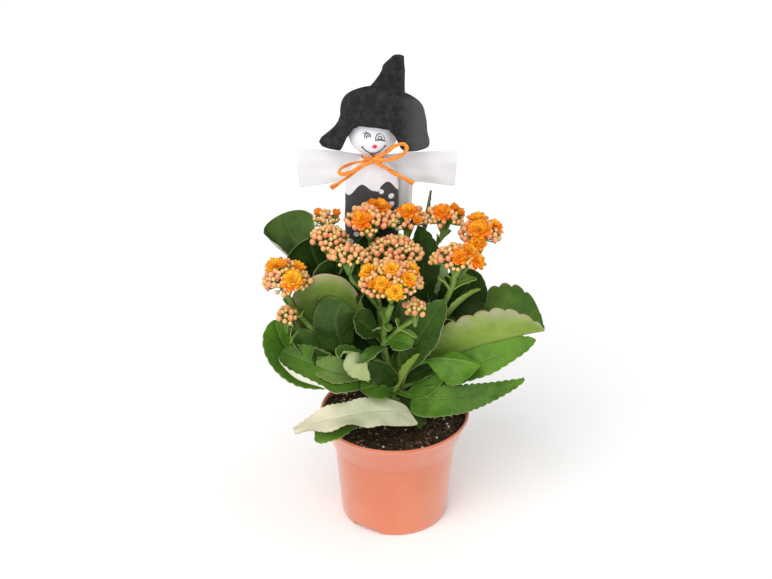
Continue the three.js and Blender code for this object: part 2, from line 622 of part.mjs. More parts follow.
function sleevesSolid(extra) {
  const outline = [[-76, 306], [-17, 299], [48.5, 303.5], [46.5, 272.5], [14, 277], [13, 253], [2, 252],
    [0, 276], [-40, 277], [-74, 271]];
  const shape = new THREE.Shape(outline.map(([x, z]) => new THREE.Vector2(x, z)));
  const depth = doll.sleeves.thickness + 2 * extra;
  const panel = new THREE.ExtrudeGeometry(shape, { depth, bevelEnabled: false, steps: 1 });
  return solidOf(panel.rotateX(Math.PI / 2).translate(0, doll.sleeves.frontY + depth, 0));
}

// The height of the hat's edge all round, from the table's angles in degrees.
function hatEdge(angle) {
  const turn = (THREE.MathUtils.radToDeg(angle) + 360) % 360;
  const next = doll.hat.edge.findIndex(([at]) => at > turn);
  const [[a, low], [b, high]] = [doll.hat.edge[next - 1], doll.hat.edge[next]];
  return mix(low, high, (turn - a) / (b - a));
}

// The hat's brim is swept up over the face and hangs in a flap on the left. Its crown rises to the front.
function hatSolid() {
  const { x, y, radii, count, crownZ, crownRise, flap } = doll.hat;
  const crown = (angle) => {
    const front = Math.pow(Math.max(0, -Math.sin(angle)), 0.8) * (1 - 0.4 * Math.max(0, Math.cos(angle)));
    return crownZ + crownRise * front;
  };
  // Each level is its share of the height, its size and its share of the flap.
  const levels = [[0.1, 0.8, 0], [0, 0.985, 0.95], [0.14, 1.015, 0.88], [0.34, 0.995, 0.34], [0.7, 1.01, 0],
    [0.92, 0.93, 0], [1, 0.78, 0]];
  const rings = levels.map(([t, size, share]) => {
    const ring = [];
    for (let j = 0; j < count; j++) {
      const angle = (2 * Math.PI * j) / count;
      const wing = share * flap * Math.pow(Math.max(0, Math.cos(angle - Math.PI * 1.04)), 6);
      const [rx, ry] = [radii[0] * size + wing, radii[1] * size + 0.3 * wing];
      const z = mix(hatEdge(angle), crown(angle), t);
      ring.push(new THREE.Vector3(x + rx * Math.cos(angle), y + ry * Math.sin(angle), z));
    }
    return ring;
  });
  for (const [px, py, z, rx, ry] of doll.hat.peak) rings.push(ovalRing(px, py, z, rx, ry, count));
  return solidOf(skin(rings));
}

function bowSolid() {
  const y = 21;
  const runs = [
    [[-14, y, 306], [-26, y - 3, 305], [-42, y - 2, 298], [-41, y - 3, 295], [-30, y - 4, 298], [-16, y - 2, 306]],
    [[-18, y, 306], [-8, y - 3, 313], [3, y - 2, 319], [8, y - 3, 316], [2, y - 4, 309], [-16, y - 2, 306]],
    [[-17, y, 306], [-34, y - 4, 294], [-49, y - 3, 284]],
    [[-16, y, 306], [-2, y - 4, 297], [14, y - 3, 288]],
  ];
  const ribbons = runs.map((points) => {
    const curve = new THREE.CatmullRomCurve3(points.map(vector));
    const section = new THREE.Shape();
    section.moveTo(-1.3, -1.1).lineTo(1.3, -1.1).lineTo(0, 1.3).closePath();
    return solidOf(new THREE.ExtrudeGeometry(section, { steps: 4, extrudePath: curve }));
  });
  const around = new THREE.TorusGeometry(8.2, 1.2, 3, 10).translate(doll.x - 0.4, doll.y, 303.4);
  const knot = new THREE.IcosahedronGeometry(3.9, 0).translate(-16.5, y + 1.6, 305);
  return joined([solidOf(around), solidOf(knot), ...ribbons]);
}

function makeDoll() {
  const cloth = { color: colours.cloth, roughness: 0.8, metalness: 0 };
  place("doll_stick", stickSolid(0), stickSolid(gap), { color: colours.wood, roughness: 0.7, metalness: 0 });
  place("doll_head", dollHeadSolid(0), dollHeadSolid(gap), cloth);
  place("doll_body", dollBodySolid(0), dollBodySolid(gap), cloth);
  place("doll_bow", bowSolid(), bowSolid(), { color: colours.raffia, roughness: 0.6, metalness: 0 });
  place("doll_sleeves", sleevesSolid(0), sleevesSolid(gap), cloth);
  place("doll_hat", hatSolid(), hatSolid(), { color: colours.hat, roughness: 0.9, metalness: 0 });
}

makePot();
makeDoll();
makeStems();
makeSoil();
makeHeads();
makeLeaves();

export default object;
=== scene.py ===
import functools
import math
import random

import bpy
import numpy as np
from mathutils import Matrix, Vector, noise


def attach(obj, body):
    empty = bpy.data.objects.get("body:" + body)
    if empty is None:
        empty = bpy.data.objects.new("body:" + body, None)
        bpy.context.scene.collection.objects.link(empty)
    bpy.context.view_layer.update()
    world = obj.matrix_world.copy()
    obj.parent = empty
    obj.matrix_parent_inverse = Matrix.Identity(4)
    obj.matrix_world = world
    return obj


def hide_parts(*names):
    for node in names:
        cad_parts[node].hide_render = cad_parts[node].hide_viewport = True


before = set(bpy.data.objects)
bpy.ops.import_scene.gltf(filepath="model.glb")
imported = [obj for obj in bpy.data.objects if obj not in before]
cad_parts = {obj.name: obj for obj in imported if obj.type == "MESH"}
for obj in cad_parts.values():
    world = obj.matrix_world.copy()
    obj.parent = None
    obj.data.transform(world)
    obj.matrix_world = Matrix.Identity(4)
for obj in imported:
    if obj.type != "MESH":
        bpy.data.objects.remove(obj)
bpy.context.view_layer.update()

# The pieces are laid out in millimetres, and makePiece turns these into metres.
mm = 0.001
goldenAngle = math.pi * (3 - math.sqrt(5))
fullTurn = 2 * math.pi


def addObject(name, data):
    holder = bpy.data.objects.new(name, data)
    bpy.context.collection.objects.link(holder)
    return holder


# A material, with a short call for each kind of shader node.
class Look:
    def __init__(self, name, **sockets):
        self.material = bpy.data.materials.new(name)
        self.material.use_nodes = True
        self.tree = self.material.node_tree
        self.shader = self.tree.nodes["Principled BSDF"]
        for socket, value in sockets.items():
            self.set(socket.replace("_", " "), value)

    def put(self, socket, value):
        if isinstance(value, bpy.types.NodeSocket):
            self.tree.links.new(value, socket)
        elif socket.type == "RGBA" and isinstance(value, tuple):
            socket.default_value = (*value, 1)
        else:
            socket.default_value = value

    def set(self, socket, value):
        self.put(self.shader.inputs[socket], value)

    def node(self, kind, *values, **named):
        node = self.tree.nodes.new("ShaderNode" + kind)
        for socket, value in zip(node.inputs, values):
            self.put(socket, value)
        for name, value in named.items():
            self.put(node.inputs[name], value)
        return node

    def maths(self, operation, a, b=0.0):
        node = self.node("Math", a, b)
        node.operation = operation
        return node.outputs[0]

    def times(self, a, b):
        return self.maths("MULTIPLY", a, b)

    def plus(self, a, b):
        return self.maths("ADD", a, b)

    def minus(self, a, b):
        return self.maths("SUBTRACT", a, b)

    def larger(self, a, b):
        return self.maths("MAXIMUM", a, b)

    def unsigned(self, a):
        return self.maths("ABSOLUTE", a)

    def sine(self, a, rate):
        return self.maths("SINE", self.times(a, rate))

    def blend(self, factor, a, b):
        node = self.node("Mix")
        node.data_type = "RGBA"
        for index, value in ((0, factor), (6, a), (7, b)):
            self.put(node.inputs[index], value)
        return node.outputs[2]

    def spread(self, value, low, high, toLow=0.0, toHigh=1.0):
        node = self.node("MapRange", value, low, high, toLow, toHigh)
        node.interpolation_type = "SMOOTHSTEP"
        return node.outputs[0]

    def mark(self, name):
        node = self.node("Attribute")
        node.attribute_name = name
        return node.outputs

    def tone(self):
        return self.mark("tone")["Fac"]

    def place(self):
        return self.node("SeparateXYZ", self.mark("place")["Vector"]).outputs

    def here(self):
        return self.node("TexCoord").outputs["Object"]

    def stretched(self, x, xRate, y, yRate):
        return self.node("CombineXYZ", self.times(x, xRate), self.times(y, yRate)).outputs[0]

    def cloud(self, scale, detail=2.0, roughness=0.5, at=None):
        node = self.node("TexNoise", at or self.here(), Scale=scale, Detail=detail, Roughness=roughness)
        return node.outputs[0]

    def cells(self, scale, at=None):
        return self.node("TexVoronoi", at or self.here(), Scale=scale).outputs["Distance"]

    def cover(self, colour, height=None, strength=0.0, distance=0.0):
        self.set("Base Color", colour)
        if height is not None:
            bump = self.node("Bump", Strength=strength, Distance=distance, Height=height)
            self.set("Normal", bump.outputs[0])
        return self.material


# A mesh in the making, with a tone and a place for each point that its material can read.
class Shape:
    def __init__(self):
        self.points, self.faces, self.materials, self.tones, self.places, self.count = [], [], [], [], [], 0

    def addPoints(self, points, tone, place):
        points = np.reshape(points, (-1, 3))
        first = self.count
        self.points.append(points)
        self.tones.append(np.broadcast_to(np.reshape(tone, -1), (len(points),)))
        self.places.append(np.broadcast_to(np.reshape(place, (-1, 3)), (len(points), 3)))
        self.count += len(points)
        return first

    def addFaces(self, faces, material=0):
        self.faces.extend(faces)
        self.materials.extend([material] * len(faces))

    # Rings of equal counts are skinned from the first to the last, with a fan on each end.
    def addRings(self, rings, material=0, tone=0.0, place=(0.0, 0.0, 0.0), ends=(True, True)):
        rings = np.asarray(rings, float)
        rows, sides = rings.shape[:2]
        tone = np.broadcast_to(tone, (rows, sides)) if np.ndim(tone) != 1 else np.repeat(tone, sides)
        place = np.broadcast_to(place, (rows, sides, 3))
        first = self.addPoints(rings, tone, place)
        j = np.arange(sides)
        k = (j + 1) % sides
        for i in range(rows - 1):
            a, b = first + i * sides, first + (i + 1) * sides
            self.addFaces(np.stack([a + j, a + k, b + k, b + j], 1).tolist(), material)
        for row, wanted in ((0, ends[0]), (rows - 1, ends[1])):
            if wanted:
                value = np.reshape(tone, (rows, sides))[row].mean()
                middle = self.addPoints(rings[row].mean(0), value, place[row].mean(0))
                edge = first + row * sides
                pairs = zip(k, j) if row == 0 else zip(j, k)
                self.addFaces([[middle, edge + a, edge + b] for a, b in pairs], material)


def makePiece(name, shape, materials, nodes=()):
    mesh = bpy.data.meshes.new(name)
    mesh.from_pydata((np.concatenate(shape.points) * mm).tolist(), [], shape.faces)
    for material in materials:
        mesh.materials.append(material)
    mesh.polygons.foreach_set("material_index", shape.materials)
    mesh.polygons.foreach_set("use_smooth", [True] * len(mesh.polygons))
    tone = mesh.attributes.new("tone", "FLOAT", "POINT")
    tone.data.foreach_set("value", np.concatenate(shape.tones))
    place = mesh.attributes.new("place", "FLOAT_VECTOR", "POINT")
    place.data.foreach_set("vector", np.concatenate(shape.places).ravel())
    mesh.update()
    piece = addObject(name, mesh)
    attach(piece, "root")
    if nodes:
        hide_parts(*nodes)
    return piece


def ringPiece(name, rings, place, material, node):
    shape = Shape()
    shape.addRings(rings, place=place)
    return makePiece(name, shape, [material], [node])


# Small helpers for numbers, rings and paths.

def mix(a, b, t):
    return a + (b - a) * t


def unit(vectors):
    return vectors / np.linalg.norm(vectors, axis=-1, keepdims=True)


def around(count):
    return np.arange(count) * fullTurn / count


def triples(x, y, z):
    return np.stack(np.broadcast_arrays(x, y, z), -1)


def levelRing(x, y, z, rx, ry, angle):
    return triples(x + rx * np.cos(angle), y + ry * np.sin(angle), z)


# The place across, up and back of each point, for cloth that faces the front.
def frontPlace(rings):
    return np.array(rings)[..., [0, 2, 1]]


# A ring across a path, from the two directions that span it.
def crossRing(centre, a, aWay, b, bWay):
    return centre + np.outer(a, aWay) + np.outer(b, bWay)


def lengthsAlong(path):
    return np.concatenate([[0], np.cumsum(np.linalg.norm(np.diff(path, axis=0), axis=1))])


# A smooth curve through points, evenly spaced: the same centripetal curve as in the solid model.
def throughPoints(points, count):
    p = np.asarray(points, float)
    if len(p) == 2:
        return p[0] + (p[1] - p[0]) * np.linspace(0, 1, count)[:, None]
    p = np.vstack([2 * p[0] - p[1], p, 2 * p[-1] - p[-2]])
    s = np.linspace(0, 1, 24, endpoint=False)[:, None]
    dense = []
    for a, b, c, d in zip(p, p[1:], p[2:], p[3:]):
        t0, t1, t2 = (np.linalg.norm(q - r) ** 0.5 for q, r in ((b, a), (c, b), (d, c)))
        slopeB = ((b - a) / t0 - (c - a) / (t0 + t1) + (c - b) / t1) * t1
        slopeC = ((c - b) / t1 - (d - b) / (t1 + t2) + (d - c) / t2) * t1
        square = 3 * (c - b) - 2 * slopeB - slopeC
        cube = 2 * (b - c) + slopeB + slopeC
        dense.append(b + slopeB * s + square * s**2 + cube * s**3)
    dense = np.vstack([*dense, p[-2][None]])
    run = lengthsAlong(dense)
    at = np.linspace(0, run[-1], count)
    return np.stack([np.interp(at, run, dense[:, i]) for i in range(3)], 1)


# Side and up directions along a path, with no twist.
def pathFrames(path):
    along = unit(np.gradient(path, axis=0))
    start = np.cross(along[0], (0.0, 0.0, 1.0))
    if np.linalg.norm(start) < 0.1:
        start = np.cross(along[0], (0.0, 1.0, 0.0))
    sides = [unit(start)]
    for direction in along[1:]:
        sides.append(unit(sides[-1] - direction * np.dot(sides[-1], direction)))
    sides = np.array(sides)
    return along, sides, np.cross(along, sides)


# A tube along a path. Its radius may change on the way, and squash flattens it.
def tubeRings(path, radius, sides=8, squash=1.0, ripple=0.0):
    _, side, up = pathFrames(path)
    angle = around(sides)
    reach = np.reshape(radius, (-1, 1)) * (1 + ripple * np.cos(2 * angle)) * np.ones((len(path), 1))
    x, y = reach * np.cos(angle), reach * np.sin(angle) * squash
    return path[:, None] + x[..., None] * side[:, None] + y[..., None] * up[:, None]


# Camera, light and floor.

camera = {"place": (-0.007, -1.230, 0.898), "pitch": 60.59, "lens": 85, "sensor": 36, "clip": (0.05, 20)}
lights = {
    "key": {"turn": (45, -4, -24), "softness": 55, "strength": 1.8},
    "fill": {"turn": (50, 10, 60), "softness": 70, "strength": 0.35},
}
room = {"floorSize": 6.0, "floorColour": (0.98, 0.98, 0.98), "air": (1.0, 1.0, 1.0), "airStrength": 0.66}


def makeCamera():
    lens = bpy.data.cameras.new("camera")
    lens.lens, lens.sensor_width = camera["lens"], camera["sensor"]
    lens.clip_start, lens.clip_end = camera["clip"]
    holder = addObject("camera", lens)
    holder.location = camera["place"]
    holder.rotation_euler = (math.radians(camera["pitch"]), 0, 0)
    bpy.context.scene.camera = holder


def makeLights():
    for name, light in lights.items():
        lamp = bpy.data.lights.new("light_" + name, "SUN")
        lamp.energy, lamp.angle = light["strength"], math.radians(light["softness"])
        addObject("light_" + name, lamp).rotation_euler = [math.radians(part) for part in light["turn"]]
    world = bpy.data.worlds.new("studio")
    bpy.context.scene.world = world
    bpy.context.scene.view_settings.view_transform = "Standard"
    world.use_nodes = True
    sky = world.node_tree.nodes["Background"]
    sky.inputs["Color"].default_value = (*room["air"], 1)
    sky.inputs["Strength"].default_value = room["airStrength"]


def makeFloor():
    look = Look("pale floor", Roughness=0.8)
    half = room["floorSize"] / 2
    corners = [(-half, -half, 0), (half, -half, 0), (half, half, 0), (-half, half, 0)]
    mesh = bpy.data.meshes.new("floor")
    mesh.from_pydata(corners, [], [(0, 1, 2, 3)])
    mesh.materials.append(look.cover(room["floorColour"]))
    addObject("floor", mesh)


# Pot and soil.
# The profile runs from the base, up the outside, over the lip and down the inside: radius and height.

pot = {
    "profile": [
        (24, 0.9), (25, 0.5), (36, 0.5), (37.5, 0), (40.4, 0), (41.9, 0.25), (42.7, 0.9), (43.1, 2.2),
        (43.35, 5), (44.855, 23), (46.71, 46), (48.2, 65), (48.3, 66.2), (48.8, 66.9), (49.8, 67.7),
        (50.5, 68.3), (50.6, 68.9), (53.3, 76), (56.1, 83.6), (58.5, 90), (59.05, 91), (59.5, 91.4),
        (59.95, 91.9), (60, 92.6), (59.9, 93.5), (59.5, 94), (58.7, 94), (58.1, 93.5), (57.6, 91.4), (57, 90),
        (49.3, 69), (47, 65.5), (46.1, 50), (42.2, 3.5), (41.2, 2.2),
    ],
    "segments": 216, "baseRadius": 43,
    "notch": {"count": 3, "width": 24, "height": 3.6, "turn": -123, "ease": 0.6, "outside": 37, "below": 5},
    "colour": (0.63, 0.145, 0.055), "deepColour": (0.54, 0.115, 0.04), "glowColour": (0.7, 0.19, 0.078),
    "finish": {
        "Subsurface_Weight": 0.12, "Subsurface_Scale": 0.006, "Subsurface_Radius": (1.0, 0.45, 0.3),
        "Coat_Weight": 1.0, "Coat_Roughness": 0.4,
        "Sheen_Weight": 0.3, "Sheen_Roughness": 0.45, "Sheen_Tint": (1.0, 0.88, 0.8),
    },
}


def potMaterial():
    look = Look("terracotta pink plastic", **pot["finish"])
    colour = look.blend(look.spread(look.cloud(16, 3), 0.35, 0.7), pot["colour"], pot["glowColour"])
    scuffs = look.spread(look.cloud(160, 4, 0.7), 0.58, 0.75)
    colour = look.blend(look.times(scuffs, 0.18), colour, pot["deepColour"])
    look.set("Roughness", look.spread(look.cloud(60, 3), 0.3, 0.7, 0.3, 0.42))
    return look.cover(colour, look.cloud(420, 2), 0.12, 0.0004)


def makePot():
    angle, notch = around(pot["segments"]), pot["notch"]
    lift = np.zeros(len(angle))
    for i in range(notch["count"]):
        middle = math.radians(notch["turn"]) + i * fullTurn / notch["count"]
        off = np.abs((angle - middle + math.pi) % fullTurn - math.pi) * pot["baseRadius"]
        inside = np.clip((notch["width"] / 2 + notch["ease"] - off) / (2 * notch["ease"]), 0, 1)
        lift = np.maximum(lift, inside * notch["height"])
    rings = []
    for radius, z in pot["profile"]:
        if radius > notch["outside"] and z < notch["below"]:
            z = np.maximum(z, lift + 0.2 * z * (lift > 0))
        rings.append(levelRing(0, 0, z, radius, radius, angle))
    ringPiece("pot_shell", rings[::-1], (0.0, 0.0, 0.0), potMaterial(), "pot")
    print("pot made")


soil = {
    "topZ": 91.2, "edgeRadius": 57.0, "crown": 1.4, "crownRadius": 58, "lump": 2.3, "clod": 0.9, "fine": 0.5,
    "slopeFrom": 48, "slopeWidth": 8, "slopeDrop": 0.6,
    "rings": 46, "segments": 150, "below": [(20, 43), (64, 46.6), (70, 49.3), (88, 56)],
    "crumbs": {"count": 2300, "within": 56.5, "size": (0.45, 1.7), "largeEach": 8, "largeSize": (1.7, 3.1)},
    "perlite": {"count": 75, "within": 55, "size": (0.6, 1.8)},
    "barks": {"count": 170, "within": 54, "length": (2.5, 6), "radii": [0.3, 0.7, 0.25]},
    "dark": (0.014, 0.008, 0.004), "brown": (0.13, 0.062, 0.027), "light": (0.46, 0.28, 0.13),
    "bark": (0.32, 0.18, 0.08), "perliteColour": (0.82, 0.74, 0.55), "perliteShade": (0.5, 0.44, 0.36),
}
# The levels of a crumb, as a height and a radius in shares of its size.
crumbLevels = [(-0.7, 0.55), (0.0, 1.0), (0.65, 0.6)]


def soilHeight(x, y):
    r = math.hypot(x, y)
    lump = noise.fractal(Vector((x * 0.09, y * 0.09, 3.1)), 1.0, 2.0, 4)
    clod = noise.noise(Vector((x * 0.26, y * 0.26, 5.7)))
    fine = noise.noise(Vector((x * 0.6, y * 0.6, 9.2)))
    uneven = soil["lump"] * lump + soil["clod"] * clod + soil["fine"] * fine
    edge = max(0.0, (r - soil["slopeFrom"]) / soil["slopeWidth"])
    crown = soil["crown"] * math.cos(r / soil["crownRadius"] * 1.5)
    return soil["topZ"] + crown + uneven - soil["slopeDrop"] * edge**2


def soilMaterial():
    look = Look("potting soil", Roughness=0.93, Specular_IOR_Level=0.3)
    grain = look.cloud(460, 5, 0.7)
    colour = look.blend(look.spread(grain, 0.42, 0.66), soil["dark"], soil["brown"])
    damp = look.spread(look.cloud(95, 3), 0.4, 0.62)
    colour = look.blend(look.times(damp, 0.6), colour, soil["dark"])
    fibre = look.spread(look.cloud(190, 3, 0.6), 0.6, 0.72)
    colour = look.blend(look.times(fibre, 0.7), colour, soil["light"])
    colour = look.blend(look.spread(look.tone(), 0.6, 1.0, 0.0, 0.8), colour, soil["bark"])
    return look.cover(colour, grain, 0.9, 0.002)


def perliteMaterial():
    look = Look("perlite grain", Roughness=0.8)
    colour = look.blend(look.cloud(900, 3), soil["perliteColour"], soil["perliteShade"])
    return look.cover(colour, look.cells(2200), 0.5, 0.0003)


# A lump with a few uneven faces.
def addCrumb(shape, rng, x, y, z, size, material, tone):
    angle, rings = around(6), []
    for rise, reach in crumbLevels:
        radii = np.array([reach * rng.uniform(0.7, 1.15) * size for _ in angle])
        rings.append(levelRing(x, y, z + rise * size * 0.75, radii, radii * 0.8, angle))
    shape.addRings(rings, material, tone)


def scatter(rng, kind):
    for i in range(soil[kind]["count"]):
        radius, angle = soil[kind]["within"] * math.sqrt(rng.random()), rng.random() * fullTurn
        x, y = radius * math.cos(angle), radius * math.sin(angle)
        yield i, x, y, soilHeight(x, y)


def makeSoil():
    rng = random.Random(11)
    angle = around(soil["segments"])
    rings = [levelRing(0, 0, z, radius, radius, angle) for z, radius in soil["below"]]
    for i in range(soil["rings"]):
        radius = soil["edgeRadius"] * (1 - i / soil["rings"])
        ring = levelRing(0, 0, 0, radius, radius, angle)
        ring[:, 2] = [soilHeight(x, y) for x, y, _ in ring]
        rings.append(ring)
    shape = Shape()
    shape.addRings(rings)
    crumbs, barks = soil["crumbs"], soil["barks"]
    for i, x, y, z in scatter(rng, "crumbs"):
        size = rng.uniform(*crumbs["size" if i % crumbs["largeEach"] else "largeSize"])
        addCrumb(shape, rng, x, y, z + 0.25 * size, size, 0, rng.uniform(0, 0.75))
    for _, x, y, z in scatter(rng, "perlite"):
        addCrumb(shape, rng, x, y, z + 0.4, rng.uniform(*soil["perlite"]["size"]), 1, 0)
    for _, x, y, z in scatter(rng, "barks"):
        turn = rng.random() * math.pi
        length = rng.uniform(*barks["length"])
        reach = np.array([math.cos(turn), math.sin(turn), rng.uniform(-0.1, 0.25)]) * length
        start = np.array([x, y, z + 0.5])
        path = np.stack([start - reach / 2, start + (0, 0, 0.4), start + reach / 2])
        shape.addRings(tubeRings(path, barks["radii"], 5, 0.6), 0, rng.uniform(0.5, 1.0))
    makePiece("soil_crumbs", shape, [soilMaterial(), perliteMaterial()], ["soil"])
    print("soil made")


# Stems: the radius of each, and the points that it goes through.

stems = [
    (4, [(0, 0, 62), (0, 0, 95), (-2, -4, 123)]),
    (2.5, [(-2, -4, 118), (-6, -8, 142), (-9, -12, 164), (-7, -20, 188), (-3, -31, 208)]),
    (1.8, [(-9, -12, 162), (4, -24, 184), (14, -35, 198)]),
    (2.2, [(-1, -3, 116), (-30, -6, 138), (-58, -8, 166), (-75, -10, 190), (-83, -12, 206)]),
    (1.6, [(-62, -8, 171), (-74, -14, 176), (-82, -18, 180)]),
    (2.4, [(-2, -2, 116), (-8, 0, 150), (-12, 3, 185), (-17, 8, 225), (-19, 11, 248)]),
    (1.6, [(-12, 3, 188), (-30, 16, 212), (-48, 27, 230), (-53, 28, 240)]),
    (1.7, [(-13, 4, 196), (-30, 6, 216), (-45, 5, 227), (-50, 4, 237)]),
    (1.6, [(-12, 2, 186), (-23, -7, 206), (-33, -13, 220), (-35, -14, 229)]),
    (1.7, [(-15, 5, 206), (-8, 0, 217), (-2, -5, 228)]),
    (2.3, [(1, -2, 116), (7, 5, 160), (9, 12, 205), (9, 14, 247)]),
    (1.7, [(9, 11, 198), (23, 16, 222), (34, 18, 238), (38, 18, 248)]),
    (2.3, [(2, -4, 116), (20, -5, 153), (34, -8, 188), (43, -12, 212), (46, -14, 228)]),
    (1.8, [(33, -8, 186), (45, -3, 210), (59, 1, 230), (64, 2, 242)]),
    (1.7, [(0, 0, 98), (9, -12, 103), (16, -24, 105)]),
]
stemLook = {
    "green": (0.1, 0.21, 0.025), "pale": (0.22, 0.34, 0.06), "brown": (0.16, 0.12, 0.05), "brownFrom": 84,
    "brownLength": 26, "sides": 12, "rows": 40,
}


def stemMaterial():
    look = Look("fleshy stem", Roughness=0.42, Subsurface_Weight=0.08, Subsurface_Scale=0.003)
    streaks = look.spread(look.cloud(130, 3, 0.6), 0.35, 0.68)
    colour = look.blend(streaks, stemLook["green"], stemLook["pale"])
    colour = look.blend(look.spread(look.tone(), 0.0, 1.0), stemLook["brown"], colour)
    return look.cover(colour, look.cloud(500, 3), 0.25, 0.0005)


def makeStems(material):
    shape = Shape()
    run = np.linspace(0, 1, stemLook["rows"])
    for number, (radius, points) in enumerate(stems):
        path = throughPoints(points, len(run))
        swell = 1 + 0.07 * np.sin(run * 23 + number) + 0.1 * (1 - run)
        tone = np.clip((path[:, 2] - stemLook["brownFrom"]) / stemLook["brownLength"], 0, 1)
        shape.addRings(tubeRings(path, radius * swell, stemLook["sides"], 1, 0.05), 0, tone)
    makePiece("stem_branches", shape, [material], ["stems"])
    print("stems made")


# Leaves.
# Midribs, widths and bends follow the solid model, in millimetres and degrees.
# A list holds a value for the left and one for the right half of a blade, seen from its base.

def leafRow(name, look, width, base, middle, tip, face, **more):
    return dict(name="leaf_" + name, look=look, width=width, base=base, middle=middle, tip=tip, face=face,
                **more)


